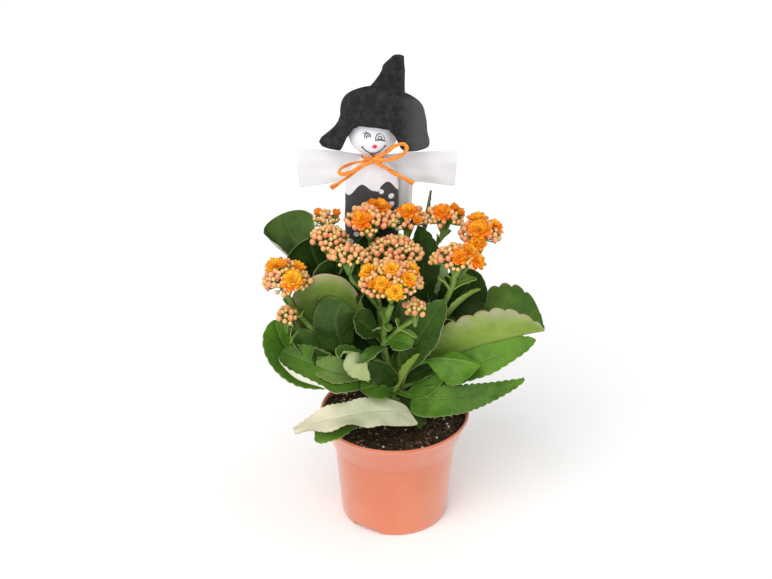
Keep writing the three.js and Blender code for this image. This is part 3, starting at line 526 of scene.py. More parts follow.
leaves = [
    leafRow("tall_left", "deepRolled", 46, (-53, 0, 180), (-75, 20, 227), (-88, 32, 254), (0.15, -1, 0.4),
            fold=[8, 12], curl=[30, 20], widest=2.2, fullness=0.5, scallop=(12, 0.8), roll=[130, 0]),
    leafRow("dark_left", "deep", 58, (-9, 1, 150), (-52, 11, 205), (-66, 15, 242), (0.3, -1, 0.45), fold=10,
            curl=20, widest=1.8, fullness=0.55, scallop=(9, 0.7)),
    leafRow("arched", "arched", 28, (-9, -12, 164), (-49, -14, 207), (-66, -3, 163), (-0.2, 1, 0.1), fold=4,
            curl=20, fullness=0.42, scallop=(12, 0.8), reach=[1.5, 0.5], widest=[1.5, 1.25]),
    leafRow("front_round", "glossy", 36, (-30, -6, 139), (-45, -28, 185), (-39, -34, 214), (0.1, -1, 0.5),
            fold=-10, curl=-15, scallop=(5, 1.5), stalk=0.05, fullness=0.5),
    leafRow("node_left", "deep", 24, (-9, -12, 164), (-22, -26, 187), (-32, -34, 198), (0.3, -0.8, 0.7),
            scallop=(3.4, 1.5)),
    leafRow("node_right", "middle", 20, (-9, -12, 163), (3, -24, 172), (13, -32, 172), (0.2, -0.8, 0.7),
            fold=12, curl=20, scallop=(3.4, 1.3)),
    leafRow("left_outer", "bright", 44, (-2, -4, 119), (-70, -14, 146), (-93, -8, 182), (0.8, -0.6, 1),
            fold=[0, 18], curl=[0, 50], reach=[1.15, 1]),
    leafRow("left_inner", "shaded", 26, (-16, -8, 128), (-60, -18, 154), (-79, -18, 182), (0.8, -0.8, 1),
            fold=14, curl=20),
    leafRow("left_low", "middleRolled", 26, (-2, -4, 112), (-52, -30, 151), (-88, -26, 164), (0, -0.8, 1),
            roll=[150, 0], reach=[1.9, 1], rollSpan=(0.42, 1.06)),
    leafRow("centre_low", "greyed", 24, (-5, -9, 131), (-42, -28, 146), (-64, -32, 155), (0, -0.8, 1),
            fold=20, curl=[10, 20]),
    leafRow("centre_bent", "greyed", 20, (-5, -7, 134), (-30, -30, 157), (-20, -42, 148), (0, 0.87, -0.4),
            fold=10, curl=20),
    leafRow("centre_curled", "middle", 13, (-6, -8, 140), (-35, -22, 161), (-43, -34, 163), (0, -0.4, 1),
            fold=20, curl=60),
    leafRow("over_rim", "pale", 35, (12, -28, 109), (-31, -46, 120), (-78, -61, 114.5), (-0.2, 0.1, -0.9),
            fold=-6, curl=-10, stalk=0.0, fullness=[0.45, 0.4], widest=[0.7, 0.45], scallop=(4.5, 1.5),
            wave=2.2, reach=[0.8, 1.3], tipHalfWidth=3),
    leafRow("over_rim_under", "fresh", 20, (0, 0, 98), (-43, -47, 108), (-62, -60, 106), (0, -0.5, 1),
            fold=5, curl=5),
    leafRow("right_boat", "boat", 80, (2, -4, 126), (65, -6, 157), (117, -3, 169), (0, 0.1, 1),
            fold=[28, 60], curl=12, stalk=0.08, widest=[2.2, 1.05], reach=[1.25, 1], scallop=(12, 4),
            fullness=[0.36, 0.7], tipHalfWidth=[16, 5]),
    leafRow("right_under", "bright", 27, (2, -4, 119), (60, -12, 143), (110, -6, 163), (0, -0.9, 1),
            fold=[10, 6], widest=0.8, reach=[1.45, 1], stalk=0.1),
    leafRow("right_glossy", "bright", 28, (3, -5, 129), (30, -19, 153), (66, -24, 150), (0.1, -0.9, 1),
            fold=-10, curl=-20, stalk=0.4, reach=[0.5, 1.5]),
    leafRow("right_rim", "middle", 26, (-1, -3, 114), (43, -28, 123), (101, -24, 138), (-0.1, -1, 0.8),
            stalk=0.2, widest=[0.6, 0.42], scallop=(5, 1.5), reach=[0.8, 1.25], fullness=[0.62, 0.5]),
    leafRow("centre_edge", "fresh", 14, (0, -8, 116), (9, -16, 139), (19, -24, 161), (-0.6, 0.8, 0.2),
            fold=10, curl=30, fullness=0.5, stalk=0.0),
    leafRow("dark_upright", "shaded", 32, (5, -9, 122), (17, -18, 166), (38, -20, 206), (-0.5, -1, 0.3),
            fold=10, curl=15),
    leafRow("behind_right", "deep", 40, (17, -5, 148), (48, 8, 190), (66, 12, 212), (0.1, -1, 0.5)),
    leafRow("narrow_right", "fresh", 14, (22, -10, 152), (44, -8, 190), (66, -6, 208), (-0.4, 0.4, 1),
            fold=25, curl=20),
    leafRow("dark_middle", "deep", 28, (8, 1, 160), (21, 4, 212), (17, 3, 258), (0.3, -1, 0.3), fold=10),
    leafRow("spire", "deep", 10, (11, 14, 190), (20, 24, 237), (27, 24, 278), (1, -0.3, 0.1), fold=20),
    leafRow("base_left", "middle", 30, (-6, -13, 114), (-10, -22, 130), (-27, -28, 130), (0, -0.6, 1)),
    leafRow("base_right", "deep", 20, (0, -3, 108), (12, -18, 110), (20, -34, 98), (0.5, -0.6, 1)),
    leafRow("inner_left", "deep", 44, (-14, 2, 150), (-42, -1, 201), (-43, -3, 235), (0.3, -1, 0.3)),
    leafRow("inner_centre", "deep", 48, (-6, 8, 148), (-14, 18, 200), (-16, 21, 244), (0, -1, 0.3)),
    leafRow("inner_low", "deep", 56, (-3, 1, 120), (-18, 16, 142), (-26, 24, 170), (0, -1, 0.4)),
    leafRow("back_right", "middle", 50, (2, 1, 120), (36, 42, 150), (62, 70, 150), (0, 0, 1), fold=20,
            curl=20),
    leafRow("back_left", "middle", 42, (-4, 1, 116), (-50, 32, 140), (-76, 56, 142), (0, 0, 1), fold=20,
            curl=20),
    leafRow("back_tall", "middle", 44, (5, 4, 150), (24, 40, 182), (34, 60, 206), (0, 1, 0.5), fold=10,
            curl=15),
    leafRow("back_low", "middle", 44, (0, 3, 108), (4, 44, 122), (0, 80, 106), (0, 0.1, 1), fold=6),
    leafRow("side_low", "middle", 40, (1, 0, 110), (48, 26, 122), (84, 40, 118), (0, 0, 1), fold=12,
            curl=12),
    leafRow("back_upright", "middle", 36, (-5, 5, 140), (-40, 32, 174), (-64, 42, 200), (0.2, 1, 0.6),
            fold=10, curl=15),
    leafRow("back_middle", "middle", 40, (-1, 3, 130), (5, 48, 158), (4, 76, 156), (0, 0.2, 1), fold=12,
            curl=12),
    leafRow("back_slanted", "middle", 38, (4, 3, 138), (40, 32, 170), (58, 48, 190), (-0.2, 1, 0.6),
            fold=10, curl=15),
]
blade = {
    "rows": [84, 92], "smallWidth": 26, "stalk": 0.16, "stalkHalfWidth": 2.2, "tipHalfWidth": 1.4,
    "fullness": 0.62, "widest": 1.25, "reach": 1, "fold": 8, "curl": 10, "roll": 0, "rollFrom": 0.64,
    "rollSpan": (0.25, 0.85), "endCrowding": 0.14, "scallopFrom": 0.26, "scallop": (7, 1.3),
    "ribThickness": 2.6, "tipThickness": 1.0, "edgeThickness": 0.8, "wave": 0.9,
}
leafColumns = [0, 0.045, 0.1, 0.18, 0.28, 0.39, 0.5, 0.61, 0.71, 0.8, 0.875, 0.93, 0.965, 0.988, 1]
smallColumns = [0, 0.08, 0.22, 0.42, 0.62, 0.8, 0.92, 0.975, 1]
sprigColumns = [0, 0.1, 0.35, 0.65, 0.88, 0.97, 1]


def leafColours(top, topLight, under, underLight, edge, edgeShare, gloss, **more):
    return dict(top=top, topLight=topLight, under=under, underLight=underLight, edge=edge,
                edgeShare=edgeShare, gloss=gloss, **more)


# Some looks are lit and shaded copies of one leaf green. The deep and shaded looks are darker: painted shade
# for leaves inside and behind the plant. The bright and fresh looks are lighter: painted light, and fresh is
# also the paler green of young leaves.
leafLooks = {
    "deep": leafColours((0.006, 0.02, 0.003), (0.024, 0.06, 0.008), (0.07, 0.14, 0.025), (0.15, 0.24, 0.05),
        (0.3, 0.28, 0.15), 0.55, 0.36, shine=0.14),
    "glossy": leafColours((0.012, 0.036, 0.005), (0.04, 0.09, 0.014), (0.07, 0.14, 0.025),
        (0.15, 0.24, 0.05), (0.2, 0.24, 0.12), 0.6, 0.24, shine=0.3),
    "deepRolled": leafColours((0.014, 0.04, 0.007), (0.055, 0.11, 0.016), (0.4, 0.43, 0.3),
        (0.6, 0.61, 0.48), (0.55, 0.55, 0.42), 0.6, 0.34, vein=(0.13, 0.2, 0.06), shine=0.35),
    "middleRolled": leafColours((0.032, 0.09, 0.01), (0.09, 0.19, 0.02), (0.62, 0.63, 0.5), (0.8, 0.8, 0.7),
        (0.5, 0.52, 0.36), 0.6, 0.32, vein=(0.2, 0.3, 0.08)),
    "arched": leafColours((0.06, 0.14, 0.02), (0.05, 0.105, 0.016), (0.12, 0.2, 0.025), (0.23, 0.31, 0.06),
        (0.5, 0.33, 0.23), 0.9, 0.5, edgeFrom=0.93, tipShade=0.85, blush=(0.4, 0.36, 0.2)),
    "shaded": leafColours((0.018, 0.055, 0.008), (0.055, 0.125, 0.016), (0.12, 0.2, 0.04), (0.2, 0.3, 0.08),
        (0.42, 0.34, 0.22), 0.9, 0.34),
    "middle": leafColours((0.025, 0.078, 0.006), (0.082, 0.19, 0.014), (0.2, 0.3, 0.08), (0.34, 0.42, 0.17),
        (0.38, 0.4, 0.19), 0.6, 0.3),
    "bright": leafColours((0.045, 0.13, 0.009), (0.125, 0.275, 0.02), (0.24, 0.36, 0.1), (0.38, 0.48, 0.19),
        (0.36, 0.36, 0.17), 0.6, 0.3),
    "fresh": leafColours((0.07, 0.17, 0.02), (0.14, 0.27, 0.035), (0.16, 0.26, 0.035), (0.27, 0.37, 0.08),
        (0.4, 0.36, 0.17), 0.5, 0.4),
    "boat": leafColours((0.045, 0.108, 0.013), (0.105, 0.205, 0.027), (0.2, 0.31, 0.045), (0.33, 0.43, 0.1),
        (0.3, 0.19, 0.12), 0.9, 0.5, edgeFrom=0.95, baseShade=0.8, blush=(0.42, 0.38, 0.27)),
    "pale": leafColours((0.06, 0.14, 0.02), (0.12, 0.23, 0.035), (0.5, 0.54, 0.33), (0.73, 0.72, 0.54),
        (0.5, 0.33, 0.24), 0.8, 0.6, tipShade=0.6, tipColour=(0.76, 0.64, 0.5)),
    "greyed": leafColours((0.06, 0.13, 0.02), (0.15, 0.24, 0.055), (0.27, 0.34, 0.13), (0.45, 0.5, 0.25),
        (0.42, 0.34, 0.2), 0.6, 0.55),
}


def leafMaterial(name, tints):
    look = Look("leaf " + name, Specular_IOR_Level=tints.get("shine", 0.2), Specular_Tint=(0.8, 1.0, 0.55))
    along, across, under = look.place()
    patches = look.spread(look.cloud(26, 3, 0.6), 0.32, 0.68)
    speckle = look.spread(look.cloud(330, 2), 0.3, 0.75)
    # Side veins leave the midrib at a slant and fade before the margin.
    reach = look.unsigned(across)
    slant = look.minus(look.times(along, 9.0), look.times(reach, 1.9))
    crest = look.unsigned(look.minus(look.maths("FRACT", slant), 0.5))
    sideVein = look.spread(crest, 0.0, 0.09, 1.0, 0.0)
    sideVein = look.times(sideVein, look.spread(reach, 0.55, 0.95, 1.0, 0.0))
    lines = look.larger(look.times(sideVein, 0.3), look.spread(reach, 0.01, 0.07, 1.0, 0.0))
    vein = tints.get("vein", tints["underLight"])
    top = look.blend(patches, tints["top"], tints["topLight"])
    top = look.blend(look.times(lines, 0.22), top, vein)
    bottom = look.blend(patches, tints["under"], tints["underLight"])
    bottom = look.blend(look.times(lines, 0.3), bottom, tints["underLight"])
    # Painted shade: the underside darkens towards the tip on the arched leaf, in the shade of its own arch,
    # and towards the base on the boat leaf. On the pale leaf the tip takes a pinkish tint instead.
    tipShade = look.spread(along, 0.45, 0.85, 0.0, tints.get("tipShade", 0.0))
    bottom = look.blend(tipShade, bottom, tints.get("tipColour", tints["topLight"]))
    baseShade = look.spread(along, 0.2, 0.55, tints.get("baseShade", 0.0), 0.0)
    bottom = look.blend(baseShade, bottom, tints["top"])
    if "blush" in tints:
        rightHighlightColour = look.times(look.spread(reach, 0.45, 1.0), look.spread(look.cloud(45, 3), 0.2, 0.6))
        bottom = look.blend(look.times(rightHighlightColour, 0.85), bottom, tints["blush"])
    colour = look.blend(under, top, bottom)
    colour = look.blend(look.times(speckle, 0.06), colour, vein)
    edge = look.spread(look.plus(reach, look.times(patches, 0.02)), tints.get("edgeFrom", 0.96), 1.0)
    worn = look.spread(look.cloud(55, 3), 0.35, 0.62, 0.35 * tints["edgeShare"], tints["edgeShare"])
    colour = look.blend(look.times(edge, worn), colour, tints["edge"])
    rough = look.plus(look.times(under, 0.2), tints["gloss"])
    look.set("Roughness", look.plus(rough, look.times(speckle, 0.08)))
    height = look.plus(look.times(lines, -0.8), look.times(look.cloud(240, 4), 0.5))
    height = look.plus(height, look.times(look.cloud(80, 2), 3.4))
    return look.cover(colour, height, 0.45, 0.0008)


def midrib(leaf, u):
    base, middle, tip = (np.array(leaf[key], float) for key in ("base", "middle", "tip"))
    pull = 2 * middle - (base + tip) / 2
    u = u[:, None]
    at = (1 - u) ** 2 * base + 2 * u * (1 - u) * pull + u**2 * tip
    along = unit((1 - u) * (pull - base) + u * (tip - pull))
    side = unit(np.cross(along, np.array(leaf["face"], float)))
    return at, side, np.cross(side, along)


def sided(leaf, key, k):
    value = leaf.get(key, blade[key])
    return value[k] if isinstance(value, list) else value


def leafHalfWidth(leaf, u, k):
    stalk = leaf.get("stalk", blade["stalk"])
    v = np.clip((u - stalk) / (1 - stalk), 0, 1)
    bulge = np.maximum(np.sin(np.pi * v ** sided(leaf, "widest", k)), 0)
    reach = leaf["width"] / 2 * bulge ** sided(leaf, "fullness", k) * sided(leaf, "reach", k)
    return np.maximum(reach, mix(blade["stalkHalfWidth"], sided(leaf, "tipHalfWidth", k), v))


# How far across and up the blade lies at a share of its half width, and its lean there.
@functools.lru_cache(maxsize=None)
def crossBend(share, fold, curl, roll):
    steps = np.linspace(0, 1, 81)
    rolled = np.clip((steps - blade["rollFrom"]) / (1 - blade["rollFrom"]), 0, 1)
    lean = np.radians(fold + curl * steps + roll * rolled)
    middle = (lean[1:] + lean[:-1]) / 2
    out = np.concatenate([[0], np.cumsum(np.cos(middle))]) / 80
    lift = np.concatenate([[0], np.cumsum(np.sin(middle))]) / 80
    return tuple(float(np.interp(share, steps, line)) for line in (out, lift, lean))


def leafRings(leaf, rows, number, shares):
    rng = random.Random(100 + number)
    columns = np.array([-s for s in shares[:0:-1]] + shares)
    loop = np.concatenate([columns, columns[-2:0:-1]])
    over = np.concatenate([np.ones(len(columns)), -np.ones(len(columns) - 2)])
    t = np.linspace(0, 1, rows)
    u = t + blade["endCrowding"] * np.sin(np.pi * t)
    at, side, up = midrib(leaf, u)
    scallop, depth = leaf.get("scallop", blade["scallop"])
    lobes = max(2, round(lengthsAlong(at)[-1] * (1 - blade["scallopFrom"]) / scallop))
    w = np.clip((u - blade["scallopFrom"]) / (1 - blade["scallopFrom"]), 0, 1)
    rollFrom, rollTo = leaf.get("rollSpan", blade["rollSpan"])
    rolled = np.sin(np.pi * np.clip((u - rollFrom) / (rollTo - rollFrom), 0, 1))
    reach, sign = np.abs(loop), np.where(loop < 0, -1, 1)
    outer = np.clip((reach - 0.7) / 0.3, 0, 1) ** 1.5
    shifts = [rng.uniform(-0.2, 0.2) for _ in range(2)]
    waves = [(rng.uniform(5, 9), rng.uniform(0, 6.3)) for _ in range(3)]
    wave = leaf.get("wave", blade["wave"]) * min(1, leaf["width"] / 30)
    rib = mix(blade["ribThickness"], blade["tipThickness"], u)
    points, place = np.zeros((rows, len(loop), 3)), np.zeros((rows, len(loop), 3))
    for j, s in enumerate(loop):
        k = 0 if s < 0 else 1
        half = leafHalfWidth(leaf, u, k)
        tooth = np.abs(np.sin(np.pi * (lobes * w + shifts[k] * np.sin(np.pi * w)))) ** 0.55
        notch = outer[j] * depth * (1 - tooth) * np.clip(w * 5, 0, 1) * np.clip((1 - w) * 30, 0, 1)
        fold, curl, roll = (sided(leaf, key, k) for key in ("fold", "curl", "roll"))
        out, lift, lean = np.array([crossBend(abs(s), fold, curl, roll * r) for r in rolled]).T
        across = (out * half - notch * np.cos(lean))[:, None]
        point = at + side * sign[j] * across + up * (lift * half - notch * np.sin(lean))[:, None]
        normal = up * np.cos(lean)[:, None] - side * sign[j] * np.sin(lean)[:, None]
        thick = mix(rib, blade["edgeThickness"], reach[j] ** 0.8)
        roundOff = 0.05 + 0.95 * math.sqrt(max(0.0, 1 - max(0.0, (reach[j] - 0.93) / 0.07) ** 2))
        groove = 0.5 * math.exp(-((s / 0.06) ** 2)) * np.clip(1.2 - u, 0, 1) * (over[j] > 0)
        (f1, p1), (f2, p2) = waves[k], waves[2]
        ripple = reach[j] ** 2 * np.sin(f1 * u * 2.4 + p1) + np.sin(f2 * u + p2) * math.sin(3 * s + p1) / 2
        off = over[j] * thick / 2 * roundOff - groove + wave * ripple * np.clip(w * 3, 0, 1)
        points[:, j] = point + normal * off[:, None]
        place[:, j, 0], place[:, j, 1] = u, s
        place[:, j, 2] = 0.5 if reach[j] == 1 else (0.0 if over[j] > 0 else 1.0)
    return points, place


def makeLeaves(materials):
    for number, leaf in enumerate(leaves):
        small = leaf["width"] < blade["smallWidth"]
        columns = smallColumns if small else leafColumns
        points, place = leafRings(leaf, blade["rows"][0 if small else 1], number, columns)
        ringPiece(leaf["name"] + "_blade", points, place, materials[leaf["look"]], leaf["name"])
    print("leaves made")


# Small narrow leaves. A pair gives its stem, a share along it, a length and a width, and a single leaf
# gives its look, width, base, middle, tip and face.
sprigs = {
    "pairs": [
        (1, 0.72, 15, 7), (2, 0.55, 15, 5), (3, 0.3, 26, 14), (3, 0.55, 24, 12), (3, 0.82, 22, 8),
        (4, 0.6, 15, 5), (5, 0.35, 34, 18), (5, 0.62, 28, 13), (5, 0.85, 18, 7), (6, 0.4, 24, 11),
        (6, 0.8, 16, 6), (7, 0.6, 20, 9), (8, 0.5, 22, 9), (9, 0.5, 20, 8), (10, 0.3, 34, 18),
        (10, 0.55, 30, 14), (10, 0.82, 20, 8), (11, 0.45, 22, 8), (11, 0.8, 16, 5), (12, 0.3, 32, 16),
        (12, 0.6, 24, 9), (12, 0.85, 26, 8), (13, 0.4, 22, 8), (13, 0.78, 20, 6),
    ],
    "single": [
        (0, 22, (3, -5, 118), (-6, -20, 137), (-18, -28, 158), (-0.3, -1, 0.7)),
        (1, 16, (-4, -8, 128), (-18, -22, 141), (-26, -26, 152), (0, -1, 0.5)),
        (2, 9, (-3, -10, 112), (-10, -22, 119), (-14, -27, 128), (0.2, -1, 0.5)),
        (0, 18, (-30, -12, 140), (-52, -24, 150), (-62, -28, 167), (0.4, -1, 0.6)),
        (1, 18, (4, -4, 112), (20, -14, 121), (38, -18, 137), (0, -0.8, 1)),
        (1, 12, (-7, -10, 158), (-16, -22, 162), (-26, -30, 156), (0, -0.3, 1)),
        (0, 15, (3, -4, 118), (18, -10, 133), (36, -14, 146), (0, -0.8, 1)),
    ],
    "rise": 0.75, "looks": ["deep", "middle", "fresh"],
}


def makeSprigs(materials):
    rng = random.Random(77)
    shape = Shape()
    for number, (index, share, length, width) in enumerate(sprigs["pairs"]):
        path = throughPoints(stems[index][1], 60)
        along, side, up = pathFrames(path)
        i = round(share * 59)
        turn = rng.uniform(0, math.pi)
        for lean in (0, math.pi):
            out = side[i] * math.cos(turn + lean) + up[i] * math.sin(turn + lean)
            way = unit(out + along[i] * sprigs["rise"] * rng.uniform(0.7, 1.3))
            reach = length * rng.uniform(0.8, 1.15)
            middle = path[i] + way * reach * 0.5 + (0, 0, 0.04 * reach)
            tip = path[i] + way * reach + (0, 0, -0.1 * reach)
            one = leafRow("pair", None, width * rng.uniform(0.85, 1.15), path[i], middle, tip,
                          along[i] * 1.2 - out * 0.8, fold=16, curl=16, stalk=0.1, scallop=(5, 0.5))
            points, place = leafRings(one, 20, 60 + 2 * number + (lean > 0), sprigColumns)
            shape.addRings(points, 2 if width < 9 else rng.randrange(2), place=place)
    for number, row in enumerate(sprigs["single"]):
        one = leafRow("single", *row, fold=14, curl=14)
        points, place = leafRings(one, 34, 140 + number, sprigColumns)
        shape.addRings(points, one["look"], place=place)
    makePiece("small_leaves", shape, [materials[name] for name in sprigs["looks"]])
    print("small leaves made")


# Heads of buds and blooms.
# A head gives its top, radii, drop and count of buds. A bloom gives an offset on the dome and a size.

def headRow(name, at, radius, drop, buds, blooms=(), opening=(), warmth=0, unripe=0):
    flowers = [(*spot, "open") for spot in blooms]
    flowers += [(*spot, bloom["openingSize"], "half") for spot in opening]
    return dict(name="head_" + name, at=at, radius=radius, drop=drop, buds=buds, flowers=flowers,
                warmth=warmth, unripe=unripe)


bud = {
    "radius": [1.45, 2.5], "more": 8.2, "hubDepth": 13, "rings": 8, "sides": 10, "packing": 0.82,
    "pink": (0.76, 0.222, 0.115), "peach": (0.81, 0.38, 0.165), "cream": (0.8, 0.7, 0.24),
    "green": (0.33, 0.45, 0.05), "blush": (0.68, 0.13, 0.06), "foot": (0.6, 0.52, 0.14),
}
# Petal layers give a count, a length, a tilt and a width, and open and half say how these change.
bloom = {
    "openingSize": 4.2, "facing": (0, -0.5, 0.25),
    "layers": [(8, 1.16, 0, 0.64), (8, 1.0, 14, 0.64), (7, 0.8, 30, 0.64), (6, 0.58, 48, 0.44),
               (5, 0.38, 66, 0.44)],
    "open": {"tiltShare": 1, "tilt": 0, "toneShare": 1, "room": 1.6},
    "half": {"tiltShare": 0.45, "tilt": 48, "toneShare": 0.5, "room": 1.2},
    "outer": (1.0, 0.18, 0.004), "inner": (1.0, 0.58, 0.03), "shade": (0.85, 0.095, 0.004),
}
sepalLevels = [(0.3, -1.15, 0), (0.72, -0.86, 0.08), (0.98, -0.5, 0.34)]
heads = [
    headRow("back_left", (-53, 28, 258), (10, 8), 7, 9, opening=[(-6, 2), (7, 2)], unripe=0.5),
    headRow("left", (-51, 4, 256), (15, 12), 9, 15),
    headRow("left_low", (-35, -14, 250), (15.5, 11), 9, 16),
    headRow("top", (-19, 8, 273), (19.5, 16), 14, 16, [(-6, -10, 7.8), (8, 4, 7.6)], opening=[(2, 4)]),
    headRow("top_right", (10, 14, 268), (15, 12), 9, 12, [(0, -4, 7.2)], opening=[(7, -9)]),
    headRow("middle", (-1, -5, 252), (22, 15), 13, 23),
    headRow("front", (-3, -31, 244), (24, 20), 17, 26,
            [(-17, 3, 7.7), (-7, -14, 6.6), (3, -18, 7), (0, -6, 5.6), (15, 5, 6), (13, -9, 6)],
            opening=[(-14, -12)], warmth=0.35),
    headRow("far_left", (-83, -12, 234), (18, 16), 15, 18, [(5, -11, 8.2), (-9, 4, 7), (9, 2, 5.2)],
            opening=[(-2, -3)], warmth=0.25),
    headRow("far_left_low", (-83, -18, 199), (8, 7.5), 8, 8),
    headRow("right", (37.5, 18, 267), (16, 11), 9, 14, [(-2, -5, 6.2)], opening=[(8, 1), (12, -1)]),
    headRow("far_right", (65, 5, 262), (15.5, 14), 12, 14,
            [(-1, -8, 8), (-2, 6, 7.2), (11, 4, 6.6), (-3, -14, 6)]),
    headRow("right_low", (46, -14, 250), (19, 14), 11, 18, [(2, -9, 6.4), (10, -2, 6.4), (16, -6, 6.4)],
            unripe=0.2),
    headRow("small", (15, -36, 215), (7.5, 6.5), 6, 8),
]


def budMaterial():
    look = Look("flower bud", Roughness=0.45, Subsurface_Weight=0.12, Subsurface_Scale=0.002)
    height, young, turn = look.place()
    ripe = look.blend(look.spread(look.tone(), 0.1, 0.9), bud["pink"], bud["peach"])
    ripe = look.blend(look.spread(height, 0.7, 1.0, 0.0, 0.3), ripe, bud["cream"])
    ripe = look.blend(look.spread(height, 0.1, 0.5, 0.8, 0.0), ripe, bud["foot"])
    small = look.blend(look.spread(height, 0.35, 1.0), bud["green"], bud["cream"])
    colour = look.blend(young, ripe, small)
    seams = look.spread(look.unsigned(turn), 0.0, 0.16, 1.0, 0.0)
    colour = look.blend(look.times(seams, 0.25), colour, bud["blush"])
    colour = look.blend(look.times(look.cloud(900, 2), 0.12), colour, bud["cream"])
    return look.cover(colour, look.cloud(1500, 2), 0.15, 0.0002)


def petalMaterial():
    look = Look("orange petal", Roughness=0.5, Subsurface_Weight=0.15, Subsurface_Scale=0.0015,
                Specular_Tint=(1.0, 0.7, 0.3))
    along, across, _ = look.place()
    colour = look.blend(look.tone(), bloom["outer"], bloom["inner"])
    # Painted shade: each petal darkens towards its base, where the petals overlap. Towards the tip it turns
    # lighter and yellower.
    colour = look.blend(look.spread(along, 0.0, 0.6, 0.75, 0.0), colour, bloom["shade"])
    colour = look.blend(look.spread(along, 0.75, 1.0, 0.0, 0.4), colour, bloom["inner"])
    # The streaks are the petal's veins, drawn in the same dark orange.
    streak = look.unsigned(look.sine(across, 9.0))
    colour = look.blend(look.times(streak, 0.12), colour, bloom["shade"])
    return look.cover(colour, look.plus(streak, look.cloud(1200, 2)), 0.2, 0.0002)


def hubOf(head):
    return np.array(head["at"], float) - (0, 0, head["drop"] + bud["hubDepth"])


def onDome(head, dx, dy):
    off = (dx / head["radius"][0]) ** 2 + (dy / head["radius"][1]) ** 2
    return np.array(head["at"], float) + (dx, dy, -head["drop"] * off)


# An offset on a head's dome, at a share of its radius.
def domeOffset(head, share, angle):
    rx, ry = head["radius"]
    return rx * share * math.cos(angle), ry * share * math.sin(angle)


def axesFor(direction):
    axis = unit(direction)
    side = unit(np.cross(axis, (0.0, 1.0, 0.0) if abs(axis[1]) < 0.9 else (1.0, 0.0, 0.0)))
    return side, np.cross(axis, side), axis


# A round bud with four faint ridges that meet at a blunt tip.
def addBud(shape, centre, direction, radius, tone, young, rng):
    side, up, axis = axesFor(direction)
    angle = around(bud["sides"]) + rng.random()
    rings, place = [], []
    for p in np.linspace(0.12, math.pi - 0.16, bud["rings"]):
        reach = radius * math.sin(p) ** 0.92 * (1 + 0.05 * np.cos(4 * angle) * math.sin(p))
        rise = -radius * math.cos(p) * (1.18 if p > math.pi / 2 else 1.02)
        x, y = np.cos(angle) * reach, np.sin(angle) * reach
        rings.append(crossRing(centre + axis * rise, x, side, y, up))
        place.append(triples((1 - math.cos(p)) / 2, young, np.sin(2 * angle)))
    shape.addRings(rings, 0, tone, place)


# Four green sepals that hug the foot of a bud or bloom.
def addCalyx(shape, centre, direction, radius):
    side, up, axis = axesFor(direction)
    angle = around(8)
    rings = []
    for reach, rise, tip in sepalLevels:
        level = radius * (rise + tip * np.cos(4 * angle))
        flat = radius * reach * 1.04 * (1 - 0.06 * tip * np.cos(4 * angle))
        ring = crossRing(centre, np.cos(angle) * flat, side, np.sin(angle) * flat, up)
        rings.append(ring + np.outer(level, axis))
    shape.addRings(rings, 0, 0.8, ends=(True, False))


# A petal is a thin closed blade that curls up from where it starts.
def addPetal(shape, start, outward, axis, length, width, tilt, tone, rng):
    side = np.cross(axis, outward)
    rows, across = 7, np.array([-1, -0.6, 0, 0.6, 1])
    loop = np.concatenate([across, across[::-1][1:-1]])
    over = np.array([0, 1, 1, 1, 0, -1, -1, -1])
    lift, point = math.radians(tilt), start
    cup, bend, wave = rng.uniform(0.06, 0.26), rng.uniform(-0.25, 0.5), rng.uniform(-0.5, 0.5)
    rings, place = [], []
    for i in range(rows):
        t = i / (rows - 1)
        direction = outward * math.cos(lift) + axis * math.sin(lift)
        normal = axis * math.cos(lift) - outward * math.sin(lift)
        swell = 0.3 + 0.7 * math.sin(math.pi * min(1, t * 0.66 + 0.04))
        half = width / 2 * swell * (1 if t < 0.95 else 0.72)
        bulge = cup * half * loop**2 + wave * t**2 * np.sin(2.6 * loop) + 0.11 * over
        ring = crossRing(point, loop * half, side, bulge, normal)
        rings.append(ring - np.outer(0.16 * length * t**2 * loop**2, direction))
        place.append(triples(t, loop, 0))
        point = point + direction * length / (rows - 1)
        lift += bend / (rows - 1)
    shape.addRings(rings, 0, tone, place)


def addBloom(shape, centre, direction, size, rng, warmth, form):
    side, up, axis = axesFor(direction)
    start, warmth = rng.random() * fullTurn, warmth + rng.uniform(0, 0.2)
    for number, (petals, reach, tilt, wide) in enumerate(bloom["layers"]):
        for j in range(petals):
            angle = start + number * 0.6 + fullTurn * j / petals + rng.uniform(-0.12, 0.12)
            outward = side * math.cos(angle) + up * math.sin(angle)
            foot = centre + axis * (0.5 * number - 1.4) + outward * 0.5
            length = size * reach * rng.uniform(0.88, 1.08)
            width = size * wide * rng.uniform(0.85, 1.15)
            tone = min(1, max(0, warmth + 0.14 * number + rng.uniform(-0.35, 0.35))) * form["toneShare"]
            lift = tilt * form["tiltShare"] + form["tilt"] + rng.uniform(-7, 7)
            addPetal(shape, foot, outward, axis, length, width, lift, tone, rng)


def addFlowers(petals, stalks, head, rng):
    tips = []
    for dx, dy, size, form in head["flowers"]:
        at = onDome(head, dx, dy)
        direction = unit(at - hubOf(head) + (0, 0, 4)) + bloom["facing"]
        size = size * rng.uniform(1.0, 1.12)
        addBloom(petals, at + (0, 0, 0.8), direction, size, rng, head["warmth"], bloom[form])
        addCalyx(stalks, at, direction, 3.0)
        tips.append((at - 1.6 * unit(direction), 0.8))
    return tips


def crowded(at, radius, taken):
    return any(np.linalg.norm(other - at) < (size + radius) * bud["packing"] for other, size in taken)


